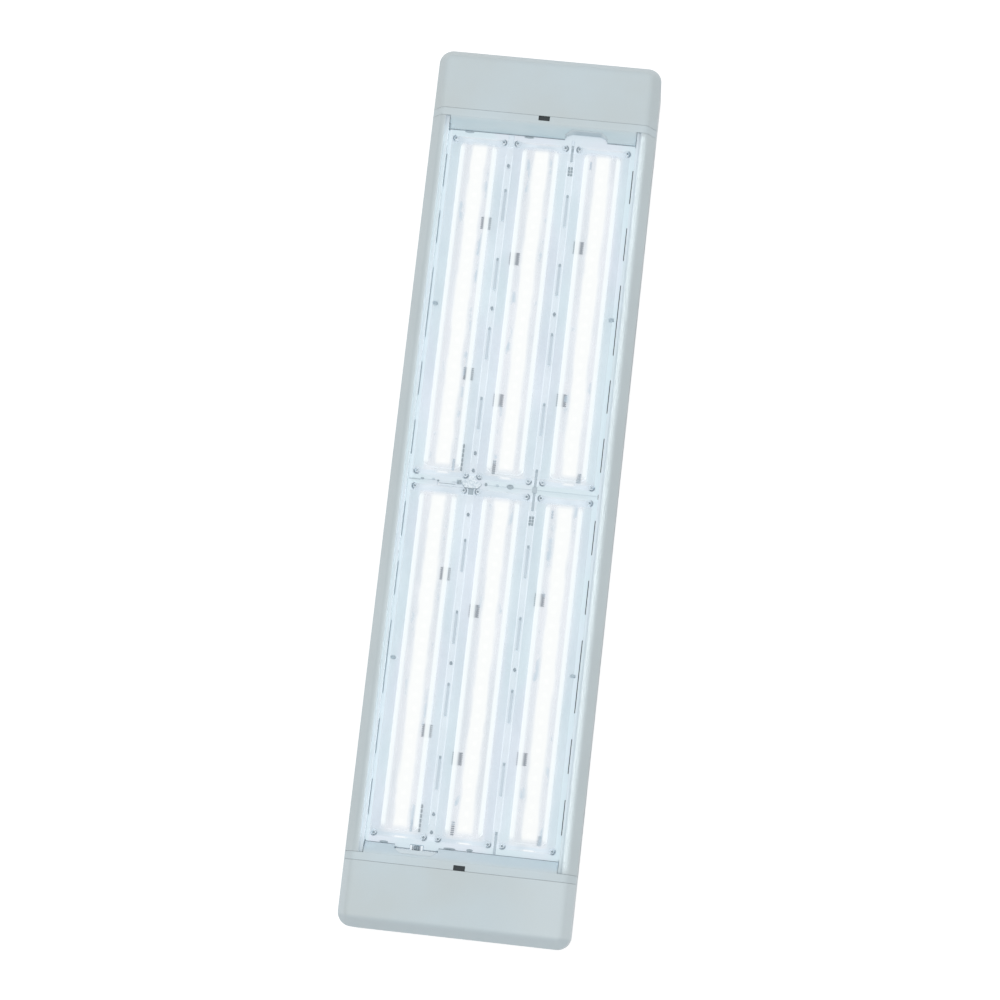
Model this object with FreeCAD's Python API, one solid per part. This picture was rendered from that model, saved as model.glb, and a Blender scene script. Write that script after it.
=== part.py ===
import FreeCAD, Part
import math
import os

V = FreeCAD.Vector

# Linear LED light, lying on its back with the light face up.
# X runs across the lens rows, Y along the light, Z out of the light face. Sizes are in millimetres.

# Lens plates: two alike, end to end
LENS_LENGTH = 284.9
LENS_JOINT = 0.3
LENS_SHEET = 2.0
ROW_PITCH = 49.9
LENS_MARGIN = 24.9
TAB_REACH = 2.0
TAB_SPANS = ((-95.8, -75.8), (-48.7, -28.7), (28.7, 48.7), (75.8, 95.8))
TAB_END_INSET = 19.0
DOME_WIDTH = 29.2
DOME_RISE = 6.8
DOME_WALL = 3.0
DOME_ROOF = 2.2
DOME_SHOULDER = 4.0
DOME_CORNER = 6.0
DOME_BEVEL = 1.6
DOME_END = 9.6
BULGE_WIDTH = 15.0
BULGE_DEPTH = 2.4
SLOT_LENGTH = 26.1
SLOT_WIDTH = 2.0
SLOT_COUNT = 4
DOT_RADIUS = 1.3
DOT_INSETS = (10.6, 24.6)
END_SLOT = 16.7
END_SLOT_SHORT = 8.6
END_SLOT_WIDTH = 4.4
PAD_WIDTH = 4.4
PAD_LENGTH = 8.0
PAD_DEPTH = 0.4
PAD_INSET = 24.5
RIB_OFFSET = 2.6
RIB_WIDTH = 0.8
RIB_RISE = 0.5
RIB_END = 16.0
TONGUE_FROM = -51.5
TONGUE_TO = -18.5
TONGUE_REACH = 3.4
TONGUE_CLEAR = 0.4
SIDE_HOLE_WIDTH = 4.4
SIDE_HOLE_LENGTH = 2.8
SIDE_HOLE_INSET = 4.4
SCREW_END = 6.0
SCREW_FROM_DOME = 4.8
UNDER_LIP = 3.0
BAR_WIDTH = 5.0
STANDOFF = 3.0

# Cover over the joint of the two plates, between their screws
COVER_HALF = 7.4
COVER_FOOT_HALF = 4.7
COVER_REACH = 3.6
COVER_SHEET = 1.0
COVER_CLEAR = 0.4

# Boards, light sources and the parts on the boards
BOARD_SHEET = 1.6
BOARD_INSET = 1.2
LED_SIDE = 3.0
LED_RISE = 0.8
LED_PITCH = 10.9
LED_END_CLEAR = 0.8
CHIP_WIDTH = 9.4
CHIP_LENGTH = 10.5
CHIP_RISE = 1.6
CHIP_PLACES = (
    (-1, 11.8, 70.0),
    (-1, 11.8, -54.0),
    (0, -11.8, 43.0),
    (0, -11.8, -73.0),
    (1, -11.8, 57.0),
    (1, -11.8, -68.0),
)
HEADER_RISE = 2.2
HEADER_PLACES = (
    (-1, 12.0, -1, 22.0, 1.1, 9.0),
    (0, -11.4, -1, 12.0, 1.1, 8.0),
    (1, 8.4, -1, 8.0, 0.8, 4.4),
    (1, -9.0, 1, 7.0, 5.1, 4.0),
)
HEADER_RIB = 2.6
HEADER_WALL = 1.0
HEADER_FLOOR = 1.0
LINK_WIDTH = 6.0
LINK_CLEAR = 0.4
LINK_RISE = 2.4
LINK_PLACES = (-35.5, -15.0, 5.0)

# Screws
LENS_SCREW_RADIUS = 1.5
LENS_HEAD_RADIUS = 2.7
LENS_HEAD_RISE = 1.6
FRAME_SCREW_RADIUS = 1.8
FRAME_HEAD_RADIUS = 3.2
FRAME_HEAD_RISE = 2.2
FRAME_SCREW_GRIP = 12.0
PLATE_SCREW_RADIUS = 1.5
PLATE_HEAD_RADIUS = 2.9
DRIVER_SCREW_RADIUS = 1.5
DRIVER_HEAD_RADIUS = 2.8
DRIVER_HEAD_RISE = 1.8
SCREW_CLEAR = 0.1

# Body extrusion
WALL = 2.2
WEB = 3.0
LEDGE_GAP = 0.7
LEDGE_WIDTH = 2.9
LEDGE_DROP = 1.2
LEDGE_CLEAR = 0.2
CREST = 0.77
FLANK_RUN = 7.5
FLANK_DROP = 12.0
SHOULDER = 6.0
LENS_DEPTH = 9.2
BAY_HEIGHT = 39.6
FOOT_WIDTH = 12.0
FOOT_SHEET = 2.0
PORT_WALL = 1.8
GROOVE_COUNT = 6
GROOVE_WIDTH = 2.0
GROOVE_DEPTH = 0.7
GROOVE_PITCH = 5.5
GROOVE_START = 8.0

# End frames and latches
LIP_GAP = 1.55
LIP_RUN = 8.7
LIP_SIDE_GAP = 0.6
LIP_CLEAR = 0.3
LIP_EDGE = 1.4
NOTCH_STEP = 3.0
NOTCH_REACH = 6.6
NOTCH_TAPER = 5.0
NOTCH_TAB = 6.2
FRAME_BAND = 6.15
FRAME_JOINT = 0.15
FRAME_WALL = 2.5
BULKHEAD = 2.5
WINDOW_WIDTH = 90.0
WINDOW_HEIGHT = 24.0
WINDOW_SILL = 6.0
LATCH_WIDTH = 8.8
LATCH_LENGTH = 3.8
LATCH_SUNK = 0.7
LATCH_CLEAR = 0.1
LATCH_FLANGE = 2.0
LATCH_SHEET = 2.0
LATCH_ROOT = 0.5

# End caps
CAP_LENGTH = 50.75
CAP_JOINT = 0.15
CAP_WALL = 2.5
INNER_CORNER = 0.3
HOOK_WIDTH = 28.0
HOOK_PLACE = 42.0
HOOK_REACH = 3.2
HOOK_SHEET = 2.0
HOOK_ROOT = 6.0
HOOK_CLEAR = 0.2

# Back plate and what it carries
PLATE_SHEET = 1.6
PLATE_CLEAR = 0.2
PLATE_SCREW_PLACES = (-255.0, -90.0, 90.0, 255.0)
FIX_RADIUS = 3.5
FIX_ACROSS = 120.0
FIX_ALONG = 400.0
DRIVER_WIDTH = 76.0
DRIVER_LENGTH = 250.0
DRIVER_HEIGHT = 33.0
DRIVER_EDGE = 1.5
DRIVER_END_GAP = 36.0
DRIVER_FOOT = 10.0
DRIVER_FOOT_SHEET = 2.0
TERMINAL_POLES = 5
TERMINAL_PITCH = 8.0
TERMINAL_DEPTH = 20.0
TERMINAL_HEIGHT = 18.0
TERMINAL_HOLE = 2.2
TERMINAL_SCREW = 1.8
TERMINAL_SINK = 3.0
TERMINAL_X = -25.0
ENTRY_RADIUS = 10.0
ENTRY_X = 42.0
ENTRY_FLANGE = 2.5
ENTRY_RISE = 2.2
EARTH_RADIUS = 2.0
EARTH_HEIGHT = 12.0
EARTH_X = 66.0
EARTH_NUT = 4.0
EARTH_NUT_RISE = 3.2
COMPARTMENT_MIDDLE = 23.4

# Leads and the feed connector
FEED_X = -35.0
FEED_SPLIT = 2.8
FEED_RADIUS = 0.9
FEED_HEIGHT = 22.0
FEED_BEND = 6.0
FEED_WIDTH = 10.0
FEED_DEPTH = 4.6
FEED_RISE = 8.5
FEED_WALL = 1.7
FEED_SINK = 3.5
FEED_STANDS_OFF = 0.6
FEED_BASE_SUNK = 0.3
MAINS_RADIUS = 3.2
MAINS_X = -9.0
MAINS_HEIGHT = 11.0
MAINS_BEND = 12.0
LEAD_CLEAR = 0.3

# Places that follow from the sizes above
ROWS = (-1, 0, 1)
PLATE_MIDDLE = (LENS_JOINT + LENS_LENGTH) / 2
LENS_END = LENS_JOINT / 2 + LENS_LENGTH
LIP_TIP = LENS_END + LIP_GAP
BODY_END = LIP_TIP + LIP_RUN
FRAME_FACE = BODY_END + FRAME_JOINT
SEAM = FRAME_FACE + FRAME_BAND
CAP_FACE = SEAM + CAP_JOINT
END = CAP_FACE + CAP_LENGTH

LENS_HALF = ROW_PITCH + LENS_MARGIN
LEDGE_X = LENS_HALF + LEDGE_GAP
RAIL_X = LEDGE_X + LEDGE_WIDTH
FLANK_TURN = math.atan2(FLANK_DROP, FLANK_RUN)
SHOULDER_RUN = SHOULDER * math.tan(FLANK_TURN / 2)
FLANK_X = RAIL_X + CREST + SHOULDER_RUN
HALF_WIDTH = FLANK_X + FLANK_RUN
CORNER = FLANK_RUN + SHOULDER_RUN + INNER_CORNER

WEB_LOW = PLATE_SHEET + BAY_HEIGHT
WEB_TOP = WEB_LOW + WEB
BOARD_TOP = WEB_TOP + BOARD_SHEET
LENS_LOW = BOARD_TOP + STANDOFF
LENS_TOP = LENS_LOW + LENS_SHEET
DOME_TOP = LENS_TOP + DOME_RISE
HEIGHT = LENS_TOP + LENS_DEPTH
LEDGE_LOW = LENS_TOP + LEDGE_CLEAR
LEDGE_TOP = HEIGHT - LEDGE_DROP
LIP_LOW = LENS_TOP + LIP_CLEAR
LAND_LOW = HEIGHT - FRAME_WALL
FOOT_TOP = PLATE_SHEET + FOOT_SHEET
PLATE_HALF = HALF_WIDTH - max(WALL, CAP_WALL, FRAME_WALL) - PLATE_CLEAR
PLATE_END = END - CAP_WALL - PLATE_CLEAR

PORT_RADIUS = FRAME_SCREW_RADIUS + PORT_WALL
PORT_X = HALF_WIDTH - max(WALL, FRAME_WALL) - FRAME_HEAD_RADIUS - SCREW_CLEAR
PORT_HEIGHTS = (FOOT_TOP + PORT_RADIUS, WEB_LOW - PORT_RADIUS)
FOOT_SCREW_X = HALF_WIDTH - WALL - FOOT_WIDTH / 2
DRIVER_MIDDLE = -(BODY_END - DRIVER_END_GAP - DRIVER_LENGTH / 2)
DRIVER_LOW_FACE = DRIVER_MIDDLE - DRIVER_LENGTH / 2
DRIVER_HIGH_FACE = DRIVER_MIDDLE + DRIVER_LENGTH / 2
TERMINAL_Y = SEAM + COMPARTMENT_MIDDLE
FEED_Y = -(LENS_END + FEED_STANDS_OFF + FEED_DEPTH / 2)
LINK_HALF = LENS_JOINT / 2 + SCREW_END - BAR_WIDTH / 2 - LINK_CLEAR
SCREW_ACROSS = DOME_WIDTH / 2 + SCREW_FROM_DOME
SCREW_TO_LINE = ROW_PITCH / 2 - SCREW_ACROSS
SLOT_PITCH = LENS_LENGTH / (SLOT_COUNT + 1)
LED_ROOM = LENS_LENGTH - 2 * (DOME_END + DOME_WALL + LED_END_CLEAR) - LED_SIDE
LED_COUNT = int(LED_ROOM / LED_PITCH) + 1

PLATES = ((PLATE_MIDDLE, "upper"), (-PLATE_MIDDLE, "lower"))


def box(x0, x1, y0, y1, z0, z1):
    return Part.makeBox(x1 - x0, y1 - y0, z1 - z0, V(x0, y0, z0))


def drum(x, y, z0, z1, radius):
    return Part.makeCylinder(radius, z1 - z0, V(x, y, z0))


def peg(x, y, z0, z1, radius, sides=6):
    # Upright prism for small screws and their holes, with few faces
    turn = 2 * math.pi / sides
    ring = [V(x + radius * math.cos(i * turn), y + radius * math.sin(i * turn), z0) for i in range(sides)]
    return loop(ring).extrude(V(0, 0, z1 - z0))


def peg_along(x, y0, y1, z, radius, sides=6):
    # The same prism lying along Y
    turn = 2 * math.pi / sides
    ring = [V(x + radius * math.cos(i * turn), y0, z + radius * math.sin(i * turn)) for i in range(sides)]
    return loop(ring).extrude(V(0, y1 - y0, 0))


def along(x, y0, y1, z, radius):
    return Part.makeCylinder(radius, y1 - y0, V(x, y0, z), V(0, 1, 0))


def turned(shape):
    copy = shape.copy()
    copy.rotate(V(0, 0, 0), V(0, 0, 1), 180)
    return copy


def moved(shape, x, y):
    copy = shape.copy()
    copy.translate(V(x, y, 0))
    return copy


def loop(points):
    return Part.Face(Part.makePolygon(points + [points[0]]))


def rounded_plan(x0, x1, y0, y1, radius, z0, z1):
    # Upright block with four rounded corners
    block = box(x0, x1, y0, y1, z0, z1)
    upright = [e for e in block.Edges if abs(e.tangentAt(e.FirstParameter).z) > 0.9]
    return block.makeFillet(radius, upright)


# The flank: a straight slope with a rounded shoulder, shared by the extrusion, the end frames and the caps
def flank_points(offset):
    # Low and high end of the slope, moved inward by the offset
    slant = math.hypot(FLANK_RUN, FLANK_DROP)
    step_x = -FLANK_RUN / slant
    step_z = FLANK_DROP / slant
    start_x = HALF_WIDTH - offset * step_z
    start_z = HEIGHT - FLANK_DROP + offset * step_x
    low_x = HALF_WIDTH - offset
    low_z = start_z + (low_x - start_x) / step_x * step_z
    high_z = HEIGHT - offset
    high_x = start_x + (high_z - start_z) / step_z * step_x
    return (low_x, low_z), (high_x, high_z)


def flank_edges(offset, side):
    # Edges of one flank from its low end up, and the point where the top begins.
    # Outside the shoulder is rounded; inside the slope runs on to a plain corner, which has few faces.
    low, high = flank_points(offset)

    def at(x, z):
        return V(side * x, 0, z)

    if offset > 0:
        return [Part.makeLine(at(*low), at(*high))], high
    x = high[0] - SHOULDER_RUN
    z = HEIGHT - SHOULDER
    slope = (x + SHOULDER * math.sin(FLANK_TURN), z + SHOULDER * math.cos(FLANK_TURN))
    middle = (x + SHOULDER * math.sin(FLANK_TURN / 2), z + SHOULDER * math.cos(FLANK_TURN / 2))
    top = (x, HEIGHT)
    arc = Part.Arc(at(*slope), at(*middle), at(*top)).toShape()
    return [Part.makeLine(at(*low), at(*slope)), arc], top


def section(offset, floor):
    # Cross-section of the whole light, inside the given offset, as a face across Y
    low, _ = flank_points(offset)
    right, top = flank_edges(offset, 1)
    left, _ = flank_edges(offset, -1)
    edges = [
        Part.makeLine(V(-low[0], 0, floor), V(low[0], 0, floor)),
        Part.makeLine(V(low[0], 0, floor), V(low[0], 0, low[1])),
    ]
    edges += right
    edges.append(Part.makeLine(V(top[0], 0, top[1]), V(-top[0], 0, top[1])))
    edges += reversed(left)
    edges.append(Part.makeLine(V(-low[0], 0, low[1]), V(-low[0], 0, floor)))
    return Part.Face(Part.Wire(edges))


def run_of(face, y0, y1):
    # The cross-section drawn out along Y
    solid = face.extrude(V(0, y1 - y0, 0))
    solid.translate(V(0, y0, 0))
    return solid


def cap_block(offset, y0, floor):
    # Cap form: upright walls with two rounded corners, and the flank led round three sides
    low, _ = flank_points(offset)
    flank, high = flank_edges(offset, 1)
    corner_x = HALF_WIDTH - CORNER
    corner_y = END - CORNER
    radius = CORNER - offset
    top = HEIGHT - offset
    far = END - offset
    plan = box(-low[0], low[0], y0, far, floor, top)
    corners = [e for e in plan.Edges
               if abs(e.tangentAt(e.FirstParameter).z) > 0.9 and e.CenterOfMass.y > corner_y]
    plan = plan.makeFillet(radius, corners)
    above = top + 1
    beyond = low[0] + 1
    edges = flank + [
        Part.makeLine(V(high[0], 0, high[1]), V(high[0], 0, above)),
        Part.makeLine(V(high[0], 0, above), V(beyond, 0, above)),
        Part.makeLine(V(beyond, 0, above), V(beyond, 0, low[1])),
        Part.makeLine(V(beyond, 0, low[1]), V(low[0], 0, low[1])),
    ]
    cutter = Part.Face(Part.Wire(edges))
    side = run_of(cutter, y0 - 1, corner_y)
    at_corner = cutter.copy()
    at_corner.translate(V(0, corner_y, 0))
    axis = V(corner_x, corner_y, 0)
    bend = at_corner.revolve(axis, V(0, 0, 1), 90)
    across = at_corner.copy()
    across.rotate(axis, V(0, 0, 1), 90)
    end = across.extrude(V(-2 * corner_x, 0, 0))
    mirror = [s.mirror(V(0, 0, 0), V(1, 0, 0)) for s in (side, bend)]
    return plan.cut([side, bend, end] + mirror)


def lens_screw_places():
    # Screw places on one lens plate, about its middle
    y = LENS_LENGTH / 2 - SCREW_END
    return [(r * ROW_PITCH + s * SCREW_ACROSS, t * y) for r in ROWS for s in (-1, 1) for t in (-1, 1)]


def make_ports(side):
    # Screw ports along two corners of the driver bay, each filled out to its wall and to the foot or the web
    low, high = PORT_HEIGHTS
    deep = HALF_WIDTH - WALL / 2
    ports = []
    for z, z0, z1 in ((low, FOOT_TOP - FOOT_SHEET / 2, low), (high, high, WEB_LOW + WEB / 2)):
        ports.append(along(side * PORT_X, -BODY_END, BODY_END, z, PORT_RADIUS))
        near = PORT_X - PORT_RADIUS
        fill = box(near, deep, -BODY_END, BODY_END, z0, z1)
        back = box(PORT_X, deep, -BODY_END, BODY_END, z - PORT_RADIUS, z + PORT_RADIUS)
        pair = fill.fuse(back)
        ports.append(pair if side > 0 else pair.mirror(V(0, 0, 0), V(1, 0, 0)))
    return ports


def make_body():
    body = run_of(section(0, 0), -BODY_END, BODY_END)
    inside = HALF_WIDTH - WALL
    y0 = -BODY_END - 1
    y1 = BODY_END + 1
    inner = run_of(section(WALL, 0), y0, y1)
    web_x = LEDGE_X + WALL
    cuts = [
        box(-inside, inside, y0, y1, -1, PLATE_SHEET),
        box(-inside + FOOT_WIDTH, inside - FOOT_WIDTH, y0, y1, -1, FOOT_TOP + 1),
        box(-inside, inside, y0, y1, FOOT_TOP, WEB_LOW),
        box(-LEDGE_X, LEDGE_X, y0, y1, WEB_TOP, HEIGHT + 1),
        box(-RAIL_X, RAIL_X, y0, y1, LEDGE_TOP, HEIGHT + 1),
        inner.common(box(-inside, inside, y0, y1, WEB_TOP, LEDGE_LOW)),
    ]
    hollow = inner.common(box(web_x, inside, y0, y1, WEB_TOP, LEDGE_TOP - WALL))
    cuts += [hollow, hollow.mirror(V(0, 0, 0), V(1, 0, 0))]
    for s in (-1, 1):
        for i in range(GROOVE_COUNT):
            z = GROOVE_START + i * GROOVE_PITCH
            x = s * HALF_WIDTH
            cuts.append(box(x - GROOVE_DEPTH, x + GROOVE_DEPTH, y0, y1, z, z + GROOVE_WIDTH))
    body = body.cut(cuts)
    body = body.fuse([port for s in (-1, 1) for port in make_ports(s)])
    port_hole = FRAME_SCREW_RADIUS + SCREW_CLEAR
    holes = [peg_along(s * PORT_X, y0, y1, z, port_hole) for s in (-1, 1) for z in PORT_HEIGHTS]
    for middle, _ in PLATES:
        holes += [peg(x, y + middle, WEB_LOW - 1, WEB_TOP + 1, LENS_SCREW_RADIUS + SCREW_CLEAR)
                  for x, y in lens_screw_places()]
    holes += [peg(x, y, 0, FOOT_TOP + 1, PLATE_SCREW_RADIUS + SCREW_CLEAR) for x, y in plate_screw_places()]
    holes += [peg(FEED_X + s * FEED_SPLIT / 2, FEED_Y, WEB_LOW - 1, WEB_TOP + 1, FEED_RADIUS + LEAD_CLEAR)
              for s in (-1, 1)]
    return body.cut(holes).removeSplitter()


def notch_block(clear, reach, tip, z0, z1):
    # Block that fills the notch in the lip of the +Y end frame, wide at the tip and narrower behind the step
    x0 = -TONGUE_TO - clear
    x1 = -TONGUE_FROM + clear
    taper = NOTCH_TAPER * (reach - NOTCH_STEP) / (NOTCH_REACH - NOTCH_STEP)
    plan = [(x0, -1), (x1, -1), (x1, NOTCH_STEP), (x1 - taper, reach), (x0 + taper, reach), (x0, NOTCH_STEP)]
    return loop([V(x, tip + y, z0) for x, y in plan]).extrude(V(0, 0, z1 - z0))


def make_frame():
    # End frame at the +Y end
    shell = run_of(section(0, 0), FRAME_FACE, SEAM)
    pocket = run_of(section(FRAME_WALL, 0), FRAME_FACE + BULKHEAD, SEAM + 1)
    below = box(-HALF_WIDTH + FRAME_WALL, HALF_WIDTH - FRAME_WALL, FRAME_FACE - 1, SEAM + 1, -1, PLATE_SHEET)
    sill = PLATE_SHEET + WINDOW_SILL
    window = box(-WINDOW_WIDTH / 2, WINDOW_WIDTH / 2, FRAME_FACE - 1, SEAM, sill, sill + WINDOW_HEIGHT)
    way = MAINS_RADIUS + LEAD_CLEAR
    gate = box(MAINS_X - way, MAINS_X + way, FRAME_FACE - 1, SEAM, -1, sill + way)
    frame = shell.cut([pocket, below, window, gate])
    half = LEDGE_X - LIP_SIDE_GAP
    slope = loop([
        V(-half, FRAME_FACE, HEIGHT),
        V(-half, LIP_TIP, LIP_LOW + LIP_EDGE),
        V(-half, LIP_TIP, LIP_LOW),
        V(-half, FRAME_FACE, LAND_LOW),
    ])
    frame = frame.fuse(slope.extrude(V(2 * half, 0, 0)))
    notch = notch_block(TONGUE_CLEAR, NOTCH_REACH, LIP_TIP, LIP_LOW - 1, HEIGHT + 1)
    slot_half = LATCH_WIDTH / 2 + LATCH_CLEAR
    slot = box(-slot_half, slot_half, SEAM - LATCH_LENGTH - LATCH_CLEAR, SEAM + 1, LAND_LOW - 1, HEIGHT + 1)
    holes = [peg_along(s * PORT_X, FRAME_FACE - 1, SEAM, z, FRAME_SCREW_RADIUS + SCREW_CLEAR)
             for s in (-1, 1) for z in PORT_HEIGHTS]
    return frame.cut([notch, slot] + holes).removeSplitter()


def make_latch():
    half = LATCH_WIDTH / 2
    nose = box(-half, half, SEAM - LATCH_LENGTH, SEAM, LAND_LOW - LATCH_ROOT, HEIGHT - LATCH_SUNK)
    flange_half = half + LATCH_FLANGE
    back = FRAME_FACE + BULKHEAD
    flange = box(-flange_half, flange_half, back, SEAM, LAND_LOW - LATCH_SHEET, LAND_LOW)
    return nose.fuse(flange).removeSplitter()


def make_cap():
    # End cap at the +Y end, with two hooks that reach under the land of the end frame
    shell = cap_block(0, CAP_FACE, 0).cut(cap_block(CAP_WALL, CAP_FACE - 1, -1))
    top = LAND_LOW - HOOK_CLEAR
    for s in (-1, 1):
        x0 = s * HOOK_PLACE - HOOK_WIDTH / 2
        x1 = s * HOOK_PLACE + HOOK_WIDTH / 2
        tongue = box(x0, x1, SEAM - HOOK_REACH, CAP_FACE + HOOK_ROOT, top - HOOK_SHEET, top)
        root = box(x0, x1, CAP_FACE, CAP_FACE + HOOK_ROOT, top - HOOK_SHEET, HEIGHT - CAP_WALL)
        shell = shell.fuse([tongue, root])
    return shell.removeSplitter()


def dome_outside(row):
    # Long block over one row, rolled along both upper edges and rounded at its corners in plan
    x = row * ROW_PITCH
    half = DOME_WIDTH / 2
    reach = LENS_LENGTH / 2 - DOME_END
    flat = half - DOME_SHOULDER
    spring = DOME_TOP - DOME_SHOULDER
    roll = DOME_SHOULDER * (1 - math.sqrt(0.5))

    def at(across, z):
        return V(x + across, 0, z)

    edges = [
        Part.makeLine(at(-half, LENS_LOW), at(half, LENS_LOW)),
        Part.makeLine(at(half, LENS_LOW), at(half, spring)),
        Part.Arc(at(half, spring), at(half - roll, DOME_TOP - roll), at(flat, DOME_TOP)).toShape(),
        Part.makeLine(at(flat, DOME_TOP), at(-flat, DOME_TOP)),
        Part.Arc(at(-flat, DOME_TOP), at(roll - half, DOME_TOP - roll), at(-half, spring)).toShape(),
        Part.makeLine(at(-half, spring), at(-half, LENS_LOW)),
    ]
    bar = run_of(Part.Face(Part.Wire(edges)), -reach, reach)
    return bar.common(rounded_plan(x - half, x + half, -reach, reach, DOME_CORNER, LENS_LOW, DOME_TOP))


def dome_hollow(row):
    # Hollow under a dome; its roof carries the inner lens, a shallow arc that bulges down over the lights
    x = row * ROW_PITCH
    half = DOME_WIDTH / 2 - DOME_WALL
    reach = LENS_LENGTH / 2 - DOME_END - DOME_WALL
    roof = DOME_TOP - DOME_ROOF
    lens = BULGE_WIDTH / 2
    low = LENS_LOW - 1

    def at(across, z):
        return V(x + across, 0, z)

    edges = [
        Part.makeLine(at(-half, low), at(half, low)),
        Part.makeLine(at(half, low), at(half, roof - DOME_BEVEL)),
        Part.makeLine(at(half, roof - DOME_BEVEL), at(half - DOME_BEVEL, roof)),
        Part.makeLine(at(half - DOME_BEVEL, roof), at(lens, roof)),
        Part.Arc(at(lens, roof), at(0, roof - BULGE_DEPTH), at(-lens, roof)).toShape(),
        Part.makeLine(at(-lens, roof), at(DOME_BEVEL - half, roof)),
        Part.makeLine(at(DOME_BEVEL - half, roof), at(-half, roof - DOME_BEVEL)),
        Part.makeLine(at(-half, roof - DOME_BEVEL), at(-half, low)),
    ]
    return run_of(Part.Face(Part.Wire(edges)), -reach, reach)


def make_lens(outer_end):
    # One lens plate about its own middle, tongue at the -Y end; its outer end, +1 or -1, runs on under a lip
    half_length = LENS_LENGTH / 2
    outer = LENS_HALF + TAB_REACH
    low = LENS_LOW - 1
    high = LENS_TOP + RIB_RISE + 1
    plate = box(-outer, outer, -half_length, half_length, LENS_LOW, LENS_TOP)
    tongue = box(TONGUE_FROM, TONGUE_TO, -half_length - TONGUE_REACH, -half_length + 1, LENS_LOW, LENS_TOP)
    corners = [e for e in tongue.Edges
               if abs(e.tangentAt(e.FirstParameter).z) > 0.9 and e.CenterOfMass.y < -half_length]
    strip_ends = sorted((outer_end * (half_length - 1), outer_end * (half_length + UNDER_LIP)))
    strip = box(-LENS_HALF, LENS_HALF, strip_ends[0], strip_ends[1], LENS_LOW, LENS_TOP)
    ups = [tongue.makeChamfer(TONGUE_REACH / 2, corners), strip]
    cuts = []

    # Side edges stand back between the tabs
    tab_end = half_length - TAB_END_INSET
    spans = [-tab_end] + [y for span in TAB_SPANS for y in span] + [tab_end]
    for y0, y1 in zip(spans[0::2], spans[1::2]):
        cuts.append(box(LENS_HALF, outer + 1, y0, y1, low, high))
        cuts.append(box(-outer - 1, -LENS_HALF, y0, y1, low, high))

    # At the +Y end, a tab that fills the lip's notch, or room for the next plate's tongue
    if outer_end > 0:
        tip = LIP_TIP - PLATE_MIDDLE
        ups.append(notch_block(-TONGUE_CLEAR, NOTCH_TAB, tip, LENS_LOW, LENS_TOP))
    else:
        recess = half_length - TONGUE_REACH - TONGUE_CLEAR
        cuts.append(box(TONGUE_FROM - TONGUE_CLEAR, TONGUE_TO + TONGUE_CLEAR, recess, half_length + 1,
                        low, high))

    # Room for the feed connector
    feed_half = FEED_WIDTH / 2 + TONGUE_CLEAR
    feed_end = -half_length - TONGUE_REACH - 1
    cuts.append(box(FEED_X - feed_half, FEED_X + feed_half, feed_end, -half_length, low, high))

    for row in ROWS:
        ups.append(dome_outside(row))
        cuts.append(dome_hollow(row))

    # Ribs, slots and holes along the two lines between the domes
    slot = SLOT_WIDTH / 2
    for line in (-ROW_PITCH / 2, ROW_PITCH / 2):
        for x in (line - RIB_OFFSET, line + RIB_OFFSET):
            ups.append(box(x - RIB_WIDTH / 2, x + RIB_WIDTH / 2, RIB_END - half_length, half_length - RIB_END,
                           LENS_LOW, LENS_TOP + RIB_RISE))
        for i in range(SLOT_COUNT):
            y = (i - (SLOT_COUNT - 1) / 2) * SLOT_PITCH
            cuts.append(box(line - slot, line + slot, y - SLOT_LENGTH / 2, y + SLOT_LENGTH / 2, low, high))
    left = -ROW_PITCH / 2
    right = ROW_PITCH / 2
    dots = [inset - half_length for inset in DOT_INSETS] + [0, half_length - max(DOT_INSETS)]
    cuts += [peg(left, y, low, high, DOT_RADIUS) for y in dots]
    wide = END_SLOT_WIDTH / 2
    cuts.append(box(left - wide, left + wide, half_length - END_SLOT_SHORT, half_length + 1, low, high))
    cuts.append(peg(right, 0, low, high, DOT_RADIUS))
    cuts.append(box(right - slot, right + slot, half_length - END_SLOT, half_length + 1, low, high))
    cuts.append(box(right - slot, right + slot, -half_length - 1, -half_length + END_SLOT, low, high))
    pad = half_length - PAD_INSET
    cuts.append(box(right - PAD_WIDTH / 2, right + PAD_WIDTH / 2, pad - PAD_LENGTH / 2, pad + PAD_LENGTH / 2,
                    LENS_TOP - PAD_DEPTH, high))
    for x in (SIDE_HOLE_INSET - LENS_HALF, LENS_HALF - SIDE_HOLE_INSET):
        cuts.append(box(x - SIDE_HOLE_WIDTH / 2, x + SIDE_HOLE_WIDTH / 2, -SIDE_HOLE_LENGTH / 2,
                        SIDE_HOLE_LENGTH / 2, low, high))

    # Bars that stand on the board under the screws
    bar_half = LENS_HALF - BOARD_INSET
    for s in (-1, 1):
        y = s * (half_length - SCREW_END)
        ups.append(box(-bar_half, bar_half, y - BAR_WIDTH / 2, y + BAR_WIDTH / 2, BOARD_TOP, LENS_LOW))
    cuts += [peg(x, y, BOARD_TOP - 1, high, LENS_SCREW_RADIUS + SCREW_CLEAR) for x, y in lens_screw_places()]
    return plate.fuse(ups).cut(cuts).removeSplitter()


def make_cover():
    # Cover over the joint on the left line: wide over the tongue, with a neck between the upper screws
    line = -ROW_PITCH / 2
    screw_y = LENS_JOINT / 2 + SCREW_END
    neck = SCREW_TO_LINE - LENS_HEAD_RADIUS - COVER_CLEAR
    shoulder = screw_y - LENS_HEAD_RADIUS - COVER_CLEAR
    side = [(COVER_FOOT_HALF, -COVER_REACH), (COVER_HALF, -COVER_REACH / 4), (COVER_HALF, shoulder / 3),
            (neck, shoulder), (neck, screw_y)]
    right = [V(line + x, y, LENS_TOP) for x, y in side]
    left = [V(line - x, y, LENS_TOP) for x, y in reversed(side)]
    return loop(right + left).extrude(V(0, 0, COVER_SHEET))


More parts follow.
